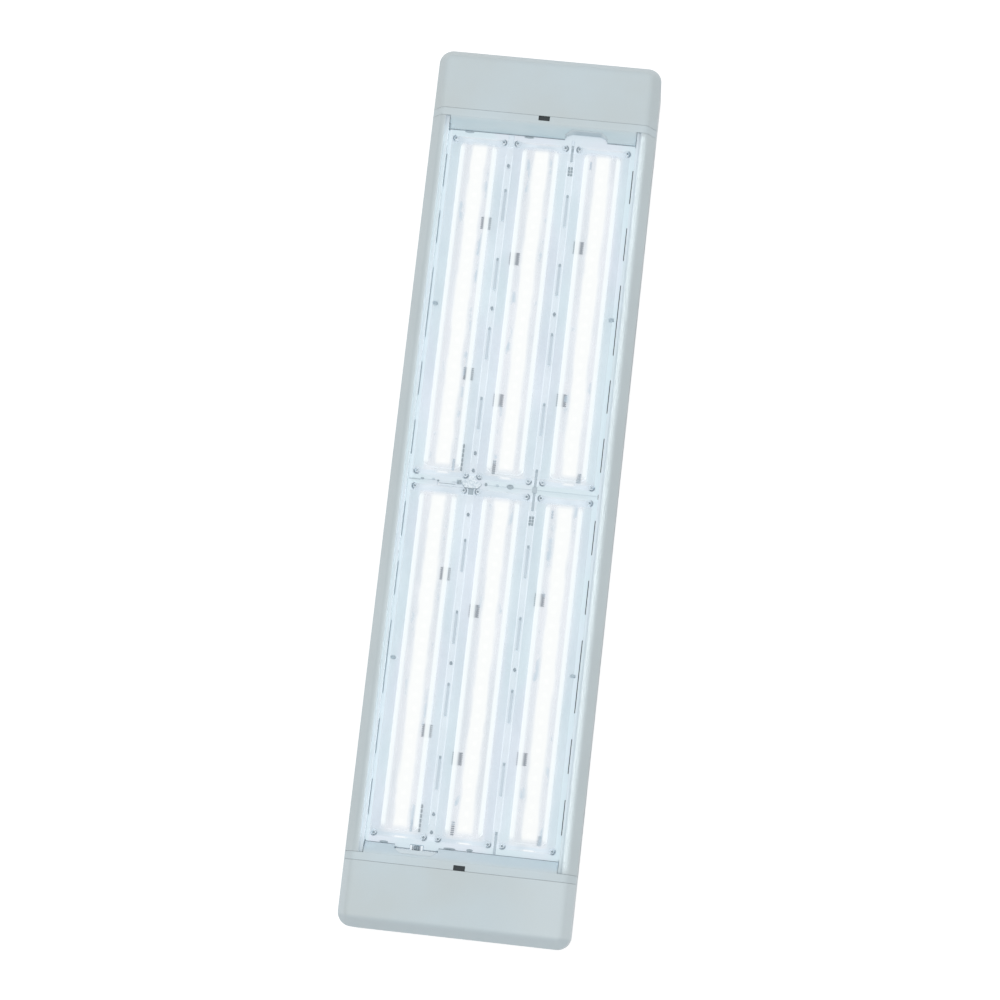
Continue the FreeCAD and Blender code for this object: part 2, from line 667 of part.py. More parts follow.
def make_board():
    half_length = LENS_LENGTH / 2 - BOARD_INSET
    half = LENS_HALF - BOARD_INSET
    board = box(-half, half, -half_length, half_length, WEB_TOP, BOARD_TOP)
    hole = LENS_SCREW_RADIUS + SCREW_CLEAR
    return board.cut([peg(x, y, WEB_TOP - 1, BOARD_TOP + 1, hole) for x, y in lens_screw_places()])


def make_leds(row):
    start = -(LED_COUNT - 1) * LED_PITCH / 2
    x = row * ROW_PITCH - LED_SIDE / 2
    leds = []
    for i in range(LED_COUNT):
        y = start + i * LED_PITCH - LED_SIDE / 2
        leds.append(box(x, x + LED_SIDE, y, y + LED_SIDE, BOARD_TOP, BOARD_TOP + LED_RISE))
    return Part.makeCompound(leds)


def make_chips():
    chips = []
    for row, across, y in CHIP_PLACES:
        x = row * ROW_PITCH + across
        chips.append(box(x - CHIP_WIDTH / 2, x + CHIP_WIDTH / 2, y - CHIP_LENGTH / 2, y + CHIP_LENGTH / 2,
                         BOARD_TOP, BOARD_TOP + CHIP_RISE))
    return Part.makeCompound(chips)


def make_headers():
    # Ribbed sockets near the board ends
    headers = []
    bar = LENS_LENGTH / 2 - SCREW_END - BAR_WIDTH / 2
    for row, across, end, length, clear, width in HEADER_PLACES:
        x = row * ROW_PITCH + across
        y = end * (bar - clear - length / 2)
        body = box(x - width / 2, x + width / 2, y - length / 2, y + length / 2,
                   BOARD_TOP, BOARD_TOP + HEADER_RISE)
        count = int(length / (2 * HEADER_RIB))
        gaps = []
        for i in range(count):
            g = y - length / 2 + (i + 0.5) * length / count
            gaps.append(box(x - HEADER_WALL, x + width / 2 + 1, g - HEADER_RIB / 2, g + HEADER_RIB / 2,
                            BOARD_TOP + HEADER_FLOOR, BOARD_TOP + HEADER_RISE + 1))
        headers.append(body.cut(gaps))
    return Part.makeCompound(headers)


def make_links():
    half = LINK_WIDTH / 2
    top = BOARD_TOP + LINK_RISE
    links = [box(x - half, x + half, -LINK_HALF, LINK_HALF, BOARD_TOP, top) for x in LINK_PLACES]
    return Part.makeCompound(links)


def make_lens_screws():
    screws = []
    for x, y in lens_screw_places():
        shank = peg(x, y, WEB_LOW, LENS_TOP, LENS_SCREW_RADIUS)
        head = peg(x, y, LENS_TOP, LENS_TOP + LENS_HEAD_RISE, LENS_HEAD_RADIUS)
        screws.append(head.fuse(shank).removeSplitter())
    return Part.makeCompound(screws)


def make_frame_screws():
    screws = []
    seat = FRAME_FACE + BULKHEAD
    for s in (-1, 1):
        for z in PORT_HEIGHTS:
            shank = peg_along(s * PORT_X, BODY_END - FRAME_SCREW_GRIP, seat, z, FRAME_SCREW_RADIUS)
            head = peg_along(s * PORT_X, seat, seat + FRAME_HEAD_RISE, z, FRAME_HEAD_RADIUS, 8)
            screws.append(head.fuse(shank).removeSplitter())
    return Part.makeCompound(screws)


def sunk_screw(x, y, grow):
    # Countersunk screw from the back, or its hole when grown
    wide = PLATE_HEAD_RADIUS + grow
    thin = PLATE_SCREW_RADIUS + grow
    rings = [peg(x, y, z, z + 1, radius).Faces for z, radius in ((0, wide), (PLATE_SHEET, thin))]
    bottoms = [min(faces, key=lambda face: face.CenterOfMass.z).OuterWire for faces in rings]
    cone = Part.makeLoft(bottoms, True, True)
    return cone.fuse(peg(x, y, PLATE_SHEET, FOOT_TOP, thin)).removeSplitter()


def plate_screw_places():
    return [(s * FOOT_SCREW_X, y) for s in (-1, 1) for y in PLATE_SCREW_PLACES]


def driver_screw_places():
    offset = DRIVER_LENGTH / 2 + DRIVER_FOOT / 2
    return [(s * DRIVER_WIDTH / 4, DRIVER_MIDDLE + t * offset) for s in (-1, 1) for t in (-1, 1)]


def make_plate():
    corner = CORNER - CAP_WALL - PLATE_CLEAR
    plate = rounded_plan(-PLATE_HALF, PLATE_HALF, -PLATE_END, PLATE_END, corner, 0, PLATE_SHEET)
    cuts = [sunk_screw(x, y, SCREW_CLEAR) for x, y in plate_screw_places()]
    cuts += [drum(s * FIX_ACROSS / 2, t * FIX_ALONG / 2, -1, PLATE_SHEET + 1, FIX_RADIUS)
             for s in (-1, 1) for t in (-1, 1)]
    hole = DRIVER_SCREW_RADIUS + SCREW_CLEAR
    cuts += [peg(x, y, -1, PLATE_SHEET + 1, hole) for x, y in driver_screw_places()]
    cuts.append(drum(ENTRY_X, TERMINAL_Y, -1, PLATE_SHEET + 1, ENTRY_RADIUS))
    cuts.append(peg(EARTH_X, TERMINAL_Y, -1, PLATE_SHEET + 1, EARTH_RADIUS + SCREW_CLEAR))
    return plate.cut(cuts)


def make_driver():
    half = DRIVER_WIDTH / 2
    case = box(-half, half, DRIVER_LOW_FACE, DRIVER_HIGH_FACE, PLATE_SHEET, PLATE_SHEET + DRIVER_HEIGHT)
    rim = [e for e in case.Edges if e.BoundBox.ZMin > PLATE_SHEET + DRIVER_HEIGHT - 0.01]
    case = case.makeChamfer(DRIVER_EDGE, rim)
    foot = box(-half, half, DRIVER_LOW_FACE - DRIVER_FOOT, DRIVER_HIGH_FACE + DRIVER_FOOT,
               PLATE_SHEET, PLATE_SHEET + DRIVER_FOOT_SHEET)
    hole = DRIVER_SCREW_RADIUS + SCREW_CLEAR
    foot_top = PLATE_SHEET + DRIVER_FOOT_SHEET
    holes = [peg(x, y, PLATE_SHEET - 1, foot_top + 1, hole) for x, y in driver_screw_places()]
    return case.fuse(foot).cut(holes).removeSplitter()


def make_driver_screws():
    screws = []
    seat = PLATE_SHEET + DRIVER_FOOT_SHEET
    for x, y in driver_screw_places():
        head = peg(x, y, seat, seat + DRIVER_HEAD_RISE, DRIVER_HEAD_RADIUS, 8)
        screws.append(head.fuse(peg(x, y, 0, seat, DRIVER_SCREW_RADIUS)).removeSplitter())
    return Part.makeCompound(screws)


def make_terminal():
    width = TERMINAL_POLES * TERMINAL_PITCH
    y0 = TERMINAL_Y - TERMINAL_DEPTH / 2
    y1 = TERMINAL_Y + TERMINAL_DEPTH / 2
    top = PLATE_SHEET + TERMINAL_HEIGHT
    block = box(TERMINAL_X - width / 2, TERMINAL_X + width / 2, y0, y1, PLATE_SHEET, top)
    cuts = []
    for i in range(TERMINAL_POLES):
        x = TERMINAL_X + (i - (TERMINAL_POLES - 1) / 2) * TERMINAL_PITCH
        z = PLATE_SHEET + TERMINAL_HEIGHT / 2
        cuts.append(peg_along(x, y1 - TERMINAL_SINK, y1 + 1, z, TERMINAL_HOLE))
        cuts.append(peg(x, TERMINAL_Y, top - TERMINAL_SINK, top + 1, TERMINAL_SCREW))
    return block.cut(cuts)


def make_grommet():
    collar = peg(ENTRY_X, TERMINAL_Y, 0, PLATE_SHEET, ENTRY_RADIUS, 32)
    flange = peg(ENTRY_X, TERMINAL_Y, PLATE_SHEET, PLATE_SHEET + ENTRY_RISE, ENTRY_RADIUS + ENTRY_FLANGE, 32)
    return collar.fuse(flange).removeSplitter()


def make_earth():
    stud = peg(EARTH_X, TERMINAL_Y, 0, PLATE_SHEET + EARTH_HEIGHT, EARTH_RADIUS)
    nut = peg(EARTH_X, TERMINAL_Y, PLATE_SHEET, PLATE_SHEET + EARTH_NUT_RISE, EARTH_NUT)
    return stud.fuse(nut).removeSplitter()


def lead(points, bend, radius):
    # Lead along straight runs in a plane of constant X, with each inner point cut across at its bend
    path = [points[0]]
    for i in range(1, len(points) - 1):
        into = (points[i] - points[i - 1]).normalize()
        out = (points[i + 1] - points[i]).normalize()
        trim = bend * math.tan(math.acos(into.dot(out)) / 2)
        path += [points[i] - into * trim, points[i] + out * trim]
    path.append(points[-1])
    turn = math.pi / 3
    ring = [points[0] + V(radius * math.cos(i * turn), 0, radius * math.sin(i * turn)) for i in range(7)]
    return Part.makePolygon(path).makePipeShell([Part.makePolygon(ring)], True, True, 1)


def make_feed_leads():
    leads = []
    for s in (-1, 1):
        x = FEED_X + s * FEED_SPLIT / 2
        points = [V(x, DRIVER_LOW_FACE, FEED_HEIGHT), V(x, FEED_Y, FEED_HEIGHT), V(x, FEED_Y, WEB_TOP)]
        leads.append(lead(points, FEED_BEND, FEED_RADIUS))
    return Part.makeCompound(leads)


def make_feed_connector():
    half = FEED_DEPTH / 2
    block = box(FEED_X - FEED_WIDTH / 2, FEED_X + FEED_WIDTH / 2, FEED_Y - half, FEED_Y + half,
                WEB_TOP, WEB_TOP + FEED_RISE)
    top = WEB_TOP + FEED_RISE
    base_top = LENS_TOP - FEED_BASE_SUNK
    base = turned(notch_block(-TONGUE_CLEAR, NOTCH_REACH - TONGUE_CLEAR, LIP_TIP, WEB_TOP, base_top))
    tongue_end = -LENS_END - max(TONGUE_REACH, UNDER_LIP) - TONGUE_CLEAR
    base = base.cut(box(-LENS_HALF, LENS_HALF, tongue_end, 0, WEB_TOP - 1, LENS_TOP + 1))
    inside = FEED_WIDTH / 2 - FEED_WALL
    pocket = box(FEED_X - inside, FEED_X + inside, FEED_Y - half - 1, FEED_Y + half + 1, top - FEED_SINK, top + 1)
    return block.fuse(base).removeSplitter().cut(pocket)


def make_mains_lead():
    floor = PLATE_SHEET + MAINS_RADIUS
    y0 = DRIVER_HIGH_FACE
    y1 = TERMINAL_Y - TERMINAL_DEPTH / 2
    points = [
        V(MAINS_X, y0, MAINS_HEIGHT),
        V(MAINS_X, y0 + 2 * MAINS_BEND, MAINS_HEIGHT),
        V(MAINS_X, y0 + 4 * MAINS_BEND, floor),
        V(MAINS_X, y1, floor),
    ]
    return lead(points, MAINS_BEND, MAINS_RADIUS)


def main():
    os.makedirs("parts", exist_ok=True)
    frame = make_frame()
    latch = make_latch()
    cap = make_cap()
    lenses = {"upper": make_lens(1), "lower": make_lens(-1)}
    board = make_board()
    chips = make_chips()
    headers = make_headers()
    lens_screws = make_lens_screws()
    frame_screws = make_frame_screws()
    nodes = {
        "body_extrusion": make_body(),
        "back_plate": make_plate(),
        "end_frame_upper": frame,
        "end_frame_lower": turned(frame),
        "end_cap_upper": cap,
        "end_cap_lower": turned(cap),
        "latch_upper": latch,
        "latch_lower": turned(latch),
        "frame_screws_upper": frame_screws,
        "frame_screws_lower": turned(frame_screws),
        "plate_screws": Part.makeCompound([sunk_screw(x, y, 0) for x, y in plate_screw_places()]),
        "joint_cover": make_cover(),
        "board_links": make_links(),
        "driver": make_driver(),
        "driver_screws": make_driver_screws(),
        "terminal_block": make_terminal(),
        "cable_grommet": make_grommet(),
        "earth_stud": make_earth(),
        "mains_lead": make_mains_lead(),
        "feed_leads": make_feed_leads(),
        "feed_connector": make_feed_connector(),
    }
    for middle, name in PLATES:
        nodes["lens_plate_" + name] = moved(lenses[name], 0, middle)
        nodes["led_board_" + name] = moved(board, 0, middle)
        nodes["board_chips_" + name] = moved(chips, 0, middle)
        nodes["board_sockets_" + name] = moved(headers, 0, middle)
        nodes["lens_screws_" + name] = moved(lens_screws, 0, middle)
        for row, side in zip(ROWS, ("left", "middle", "right")):
            nodes["led_row_" + name + "_" + side] = moved(make_leds(row), 0, middle)
    for name, shape in nodes.items():
        shape.exportStep("parts/" + name + ".step")


main()
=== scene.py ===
import math

import bmesh
import bpy
from mathutils import Matrix, Vector


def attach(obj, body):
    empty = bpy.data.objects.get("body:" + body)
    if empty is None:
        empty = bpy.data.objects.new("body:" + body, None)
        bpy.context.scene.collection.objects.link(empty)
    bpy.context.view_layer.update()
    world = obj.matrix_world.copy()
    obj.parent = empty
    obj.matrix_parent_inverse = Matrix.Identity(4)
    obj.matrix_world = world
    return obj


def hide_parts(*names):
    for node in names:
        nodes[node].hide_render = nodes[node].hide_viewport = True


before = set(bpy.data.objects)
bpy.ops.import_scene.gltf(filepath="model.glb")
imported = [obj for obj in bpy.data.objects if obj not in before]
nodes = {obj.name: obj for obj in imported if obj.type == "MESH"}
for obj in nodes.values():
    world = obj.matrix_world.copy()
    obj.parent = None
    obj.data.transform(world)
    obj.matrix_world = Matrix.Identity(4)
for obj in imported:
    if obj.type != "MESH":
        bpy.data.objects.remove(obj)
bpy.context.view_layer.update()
scene = bpy.context.scene
scene.view_settings.view_transform = "Standard"

# A linear LED light, lying on its back with the light face up. X runs across the lens rows,
# Y along the light, Z out of the light face. Sizes are in millimetres, lamps and camera in metres.
MM = 0.001

# Sizes shared with the solids
PITCH = 49.9
LINE = PITCH / 2
PLATE_MIDDLE = 142.6
PLATE_HALF = 142.45
DOME_REACH = 132.85
WEB_LOW = 41.2
WEB_TOP = 44.2
BOARD_TOP = 45.8
LENS_LOW = 48.8
LENS_TOP = 50.8
LIP_TIP = 286.6
LIP_FOOT = 52.5
LIP_SLOPE = 7.5 / 8.85
TERMINAL_Y = 325.0

# Tongues and notches are this far from the middle line: to the right at the upper end,
# to the left at the joint and at the lower end
TONGUE_X = 35.0

ENDS = ("upper", "lower")
MIDDLES = (PLATE_MIDDLE, -PLATE_MIDDLE)
PLATES = tuple(zip(MIDDLES, ENDS))
ROWS = (-1, 0, 1)
SIDES = (-1, 1)


# ---- Materials ----

BLACK = (0, 0, 0, 1)
CLOUD_SCALE = 14.0
CLOUD_SHARE = 0.7
EDGE_SOFTNESS = 0.4
GLOSS_SPREAD = 0.06
# Part of a noise's range over which one tone turns into another
SOFT = (0.3, 0.7)
CRISP = (0.35, 0.65)


def linear(r, g, b):
    # Screen colour, 0 to 255, as the linear colour that the shaders take
    def one(c):
        c /= 255
        return c / 12.92 if c <= 0.04045 else ((c + 0.055) / 1.055) ** 2.4
    return (one(r), one(g), one(b), 1.0)


def shade(colour, factor, warm):
    # The colour made darker or lighter, and warmer or cooler
    r, g, b = colour[:3]
    red, green, blue = r * factor * (1 + warm), g * factor, b * factor * (1 - warm)
    return (min(1.0, red), min(1.0, green), min(1.0, blue), 1.0)


class Paint:
    # A node material with short ways to add and join nodes
    def __init__(self, name):
        self.mat = bpy.data.materials.new(name)
        self.mat.use_nodes = True
        self.tree = self.mat.node_tree
        self.tree.nodes.clear()
        out = self.add("ShaderNodeOutputMaterial")
        self.bsdf = self.add("ShaderNodeBsdfPrincipled")
        self.join(self.bsdf.outputs[0], out.inputs[0])
        self.place = self.add("ShaderNodeTexCoord").outputs["Object"]

    def add(self, kind):
        return self.tree.nodes.new(kind)

    def join(self, source, target):
        self.tree.links.new(source, target)

    def feed(self, socket, value):
        if isinstance(value, bpy.types.NodeSocket):
            self.join(value, socket)
        else:
            socket.default_value = value

    def set(self, **values):
        for key, value in values.items():
            self.feed(self.bsdf.inputs[key.replace("_", " ")], value)

    def axes(self):
        split = self.add("ShaderNodeSeparateXYZ")
        self.join(self.place, split.inputs[0])
        return split.outputs

    def math(self, what, *values):
        node = self.add("ShaderNodeMath")
        node.operation = what
        for socket, value in zip(node.inputs, values):
            self.feed(socket, value)
        return node.outputs[0]

    def times(self, first, *others):
        for other in others:
            first = self.math("MULTIPLY", first, other)
        return first

    def most(self, first, *others):
        for other in others:
            first = self.math("MAXIMUM", first, other)
        return first

    def ramp(self, value, low, high, at_low=0.0, at_high=1.0):
        # Smooth step from at_low to at_high while the value goes from low to high
        node = self.add("ShaderNodeMapRange")
        node.interpolation_type = "SMOOTHSTEP"
        for socket, v in zip(node.inputs, (value, low, high, at_low, at_high)):
            self.feed(socket, v)
        return node.outputs[0]

    def rise(self, place, low, high, level=1.0):
        # Mask that comes in between two places, in millimetres
        return self.ramp(place, low * MM, high * MM, 0.0, level)

    def fall(self, place, low, high, level=1.0):
        # Mask that goes out between two places, in millimetres
        return self.ramp(place, low * MM, high * MM, level, 0.0)

    def noise(self, scale, detail=3.0, stretch=(1, 1, 1), rough=0.55):
        shift = self.add("ShaderNodeMapping")
        shift.inputs["Scale"].default_value = stretch
        self.join(self.place, shift.inputs[0])
        node = self.add("ShaderNodeTexNoise")
        node.inputs["Scale"].default_value = scale
        node.inputs["Detail"].default_value = detail
        node.inputs["Roughness"].default_value = rough
        self.join(shift.outputs[0], node.inputs["Vector"])
        return node.outputs[0]

    def mix(self, factor, a, b):
        node = self.add("ShaderNodeMix")
        node.data_type = "RGBA"
        self.feed(node.inputs[0], factor)
        self.feed(node.inputs[6], a)
        self.feed(node.inputs[7], b)
        return node.outputs[2]

    def patches(self, noise, a, b, limits=SOFT):
        # Two colours in patches that follow a noise
        return self.mix(self.ramp(noise, *limits), a, b)

    def bump(self, height, distance, strength):
        # Relief in millimetres, on edges that are softened a little
        edge = self.add("ShaderNodeBevel")
        edge.samples = 4
        edge.inputs["Radius"].default_value = EDGE_SOFTNESS * MM
        node = self.add("ShaderNodeBump")
        node.inputs["Strength"].default_value = strength
        node.inputs["Distance"].default_value = distance * MM
        self.join(height, node.inputs["Height"])
        self.join(edge.outputs[0], node.inputs["Normal"])
        self.join(node.outputs[0], self.bsdf.inputs["Normal"])


def moulded(name, colour, rough=0.5, grain=1800.0, depth=0.04, spread=0.035, warm=0.0, metal=0.0):
    # Matt moulding or coat: cloudy colour, fine grain in the relief and in the gloss
    p = Paint(name)
    base = linear(*colour)
    fine = p.noise(grain, 2.0)
    cloud = p.math("ADD", p.times(p.noise(CLOUD_SCALE), CLOUD_SHARE), p.times(fine, 1 - CLOUD_SHARE))
    p.tone = p.patches(cloud, shade(base, 1 - spread, warm), shade(base, 1 + spread, -warm))
    p.set(Base_Color=p.tone, Metallic=metal)
    p.set(Roughness=p.ramp(fine, *SOFT, rough - GLOSS_SPREAD, rough + GLOSS_SPREAD))
    p.bump(fine, depth, strength=0.5)
    return p


moulding = moulded("moulding_grey", (196, 208, 212), rough=0.46, warm=0.02)
# Paler bluish grey for the lip over the feed connector: painted light
lip_pale = moulded("lip_pale", (203, 215, 221), rough=0.46)
latch = moulded("latch_black", (38, 48, 52), grain=1500.0, depth=0.06, spread=0.12)
dark = moulded("dark_part", (52, 62, 70), grain=1500.0, spread=0.12)
grey = moulded("grey_part", (158, 172, 180), grain=1500.0, spread=0.10)
white = moulded("white_part", (232, 240, 246), rough=0.4, grain=1200.0, depth=0.03, spread=0.02)
feed = moulded("feed_white", (236, 244, 250), rough=0.4, grain=1200.0, depth=0.03, spread=0.02)
cover = moulded("cover_grey", (222, 234, 243), rough=0.4, grain=1200.0, depth=0.03)
steel = moulded("screw_zinc", (228, 236, 242), rough=0.28, grain=2600.0, depth=0.02, spread=0.06,
                metal=1.0)
brass = moulded("earth_brass", (212, 178, 96), rough=0.3, grain=2000.0, depth=0.02, spread=0.08,
                metal=1.0)
# Dark grey: the feed contact block's own colour, and painted shade for the lips' shadow lines and the
# back plate screws' recesses
dark_and_shade_grey = moulded("dark_and_shade_grey_paint", (128, 142, 152), rough=0.6, grain=1600.0, spread=0.10)
# Grey of the plugs, and of the painted shadow crescents beside the lens screws
ring = moulded("ring_grey", (156, 170, 180), rough=0.6, grain=1600.0, spread=0.10)
liner = moulded("liner_grey", (196, 210, 219), grain=1500.0, depth=0.03, spread=0.05)
slot_pale = moulded("liner_pale", (202, 215, 224), grain=1500.0, depth=0.03, spread=0.05)
end_grey = moulded("end_slot_grey", (184, 198, 207), grain=1500.0, depth=0.03, spread=0.06)
slate = moulded("liner_slate", (170, 185, 194), grain=1500.0, depth=0.03, spread=0.06)
plate = moulded("plate_coat", (200, 206, 208), grain=700.0, depth=0.05)
case = moulded("driver_case", (214, 218, 220), rough=0.45, grain=900.0)
rubber = moulded("grommet_rubber", (42, 42, 44), rough=0.65, grain=1100.0, depth=0.08, spread=0.15)
lead_white = moulded("lead_white", (226, 226, 222), rough=0.42, grain=1500.0, depth=0.03)
lead_grey = moulded("lead_grey", (150, 153, 156), grain=1500.0)


# Places, in millimetres, between which a mask on a painted part comes in or goes out
CAP_SIDE_LIGHT = (83.0, 86.0)
CAP_RIGHT_LIGHT = (20.0, 75.0)
CAP_END_SHADE = (-345.5, -342.5)
LIP_GLOW_TOP = (292.0, 296.0)
LEDGE_GLOW_EDGE = (77.6, 80.4)
CREST_SHADE_FROM = (-84.0, -82.6)
CREST_SHADE_TO = (-79.2, -78.2)
STEP_SHADE_FROM = (76.8, 77.6)
STEP_SHADE_TO = (78.2, 78.9)
NOTCH_SHADE_LOWER = (290.4, 291.4)
NOTCH_SHADE_UPPER = (292.0, 293.0)
NOTCH_SHADE_LEFT = (21.0, 29.0)
NOTCH_SHADE_RIGHT = (46.0, 48.5)
BOARD_DIM = (11.0, 18.0)


def cap_paint():
    # The lower cap's moulding with painted light and shade: lighter to the right and on the side bevels,
    # darker on the end bevel
    p = moulded("cap_grey_painted_light", (196, 208, 212), rough=0.46, warm=0.02)
    x, y, _ = p.axes()
    side = p.rise(p.math("ABSOLUTE", x), *CAP_SIDE_LIGHT, level=0.55)
    right = p.rise(x, *CAP_RIGHT_LIGHT, level=0.5)
    end = p.fall(y, *CAP_END_SHADE, level=0.7)
    tone = p.mix(p.most(side, right), p.tone, linear(209, 221, 226))
    p.set(Base_Color=p.mix(end, tone, linear(184, 197, 203)))
    return p


def frame_paint():
    # The end frames' moulding, with painted light from the lit plates on the sloped lips: bluer there,
    # darker on the upper lip
    p = moulded("frame_grey_lip_glow", (198, 211, 216), rough=0.46, warm=0.015)
    y = p.axes()[1]
    lip = p.fall(p.math("ABSOLUTE", y), *LIP_GLOW_TOP)
    cloud = p.noise(34.0, 2.0, (0.5, 1.6, 1))
    upper = p.patches(cloud, linear(182, 202, 210), linear(193, 208, 214), CRISP)
    lower = p.patches(cloud, linear(191, 208, 217), linear(199, 212, 220), CRISP)
    p.set(Base_Color=p.mix(lip, p.tone, p.mix(p.rise(y, -100.0, 100.0), lower, upper)))
    return p


def housing_paint():
    # The housing's coat with painted light and shade: bluer on the ledges from the light of the lit
    # plates, and painted shade along the left crest and along the outer part of the right ledge
    p = moulded("housing_coat_painted_light", (196, 208, 212), rough=0.42, grain=1400.0, depth=0.03)
    x = p.axes()[0]
    ledge_glow = p.fall(p.math("ABSOLUTE", x), *LEDGE_GLOW_EDGE)
    cloud = p.noise(30.0, 2.0, (1.5, 0.4, 1))
    ledge_glow_tone = p.patches(cloud, linear(194, 208, 214), linear(198, 210, 218), CRISP)
    crest = p.times(p.rise(x, *CREST_SHADE_FROM, level=0.07), p.fall(x, *CREST_SHADE_TO))
    step = p.times(p.rise(x, *STEP_SHADE_FROM, level=0.14), p.fall(x, *STEP_SHADE_TO))
    p.set(Base_Color=p.mix(p.most(crest, step), p.mix(ledge_glow, p.tone, ledge_glow_tone), BLACK))
    return p


def notch_shade_paint():
    # The notch liner, with painted shade: darkest along its middle, and as pale as the lip at its upper
    # edge
    p = moulded("notch_grey_painted_shade", (196, 209, 215))
    x, y, _ = p.axes()
    middle = p.times(p.rise(y, *NOTCH_SHADE_LOWER), p.fall(y, *NOTCH_SHADE_UPPER))
    span = p.times(p.rise(x, *NOTCH_SHADE_LEFT), p.fall(x, *NOTCH_SHADE_RIGHT))
    p.set(Base_Color=p.mix(p.times(middle, span), p.tone, linear(176, 191, 199)))
    return p


def speckle_paint():
    # Pale clip with a speckled finish
    p = moulded("cover_speckle", (222, 234, 243), rough=0.4)
    speckle = p.noise(620.0, rough=0.7)
    p.set(Base_Color=p.patches(speckle, linear(202, 217, 227), linear(235, 245, 251), (0.40, 0.60)))
    return p


BOARD_GLOW = 0.65


def board_paint():
    # White board, lit from the rows: bright under the domes and dimmer between them
    p = Paint("board_mask")
    across = p.math("PINGPONG", p.axes()[0], LINE * MM)
    cloud = p.noise(55.0, 2.0, (1, 0.5, 1))
    near = p.patches(cloud, (0.84, 0.87, 0.89, 1), (0.93, 0.93, 0.94, 1))
    far = p.patches(cloud, (0.62, 0.70, 0.76, 1), (0.70, 0.77, 0.83, 1))
    colour = p.mix(p.rise(across, *BOARD_DIM), near, far)
    p.set(Base_Color=p.mix(1 - BOARD_GLOW, BLACK, colour))
    p.set(Emission_Color=colour, Emission_Strength=BOARD_GLOW)
    p.set(Roughness=p.ramp(p.noise(900.0, 2.0), *SOFT, 0.42, 0.56))
    return p


def led_paint():
    # Lit rows
    p = Paint("led_lit")
    glow = p.patches(p.noise(700.0, 2.0), linear(250, 250, 246), linear(255, 255, 255))
    p.set(Base_Color=(0.8, 0.78, 0.6, 1), Emission_Color=glow, Emission_Strength=1.0)
    return p


# Lens plates: masks are measured across from a row's middle, and along from a plate's middle
ROW_SHIFT = 0.9
BAND_EDGE = (3.9, 9.3)
BAND_WAVER = 0.6
BAND_END = (DOME_REACH - 5.0, DOME_REACH + 2.0)
WALL_LEFT = (-12.4, -8.4)
WALL_RIGHT = (9.8, 12.1)
WALL_FOOT = (13.9, 15.3)
WALL_END = (DOME_REACH - 5.5, DOME_REACH + 1.5)
DOME_FOOT = (13.8, 15.0)
DOME_END = (DOME_REACH - 3.5, DOME_REACH + 3.5)
DASH_WIDTH = (2.2, 7.0)
DASH_EDGE = (0.1, 1.15)
DASH_AT = 136.5
DASH_SHIFT = 1.2
FLANGE_END = (131.0, 135.0)
BETWEEN_RIBS = (21.6, 22.6)
RIB_SIDE = (19.0, 20.0)
RIB_FOOT = (LENS_TOP + 0.2, LENS_TOP + 0.4)
STRIP_PATCHES = (0.56, 0.68)
RIM_LEFT = (-73.4, -71.8)
RIM_RIGHT = (70.4, 71.8)
RIM_END = (137.6, 139.4)
HOLLOW_SIDE = (11.6, 11.7)
HOLLOW_TOP = (56.4, 56.6)
HOLLOW_END = (DOME_REACH - 2.9, DOME_REACH - 2.7)
UNDERSIDE = (LENS_LOW + 0.1, LENS_LOW + 0.4)
BAR_FOOT = (BOARD_TOP + 0.2, BOARD_TOP + 0.4)
CLEAR_ALPHA = 0.45
STRIP_PATCH_ALPHA = 0.75
LIT_ALPHA = 0.96


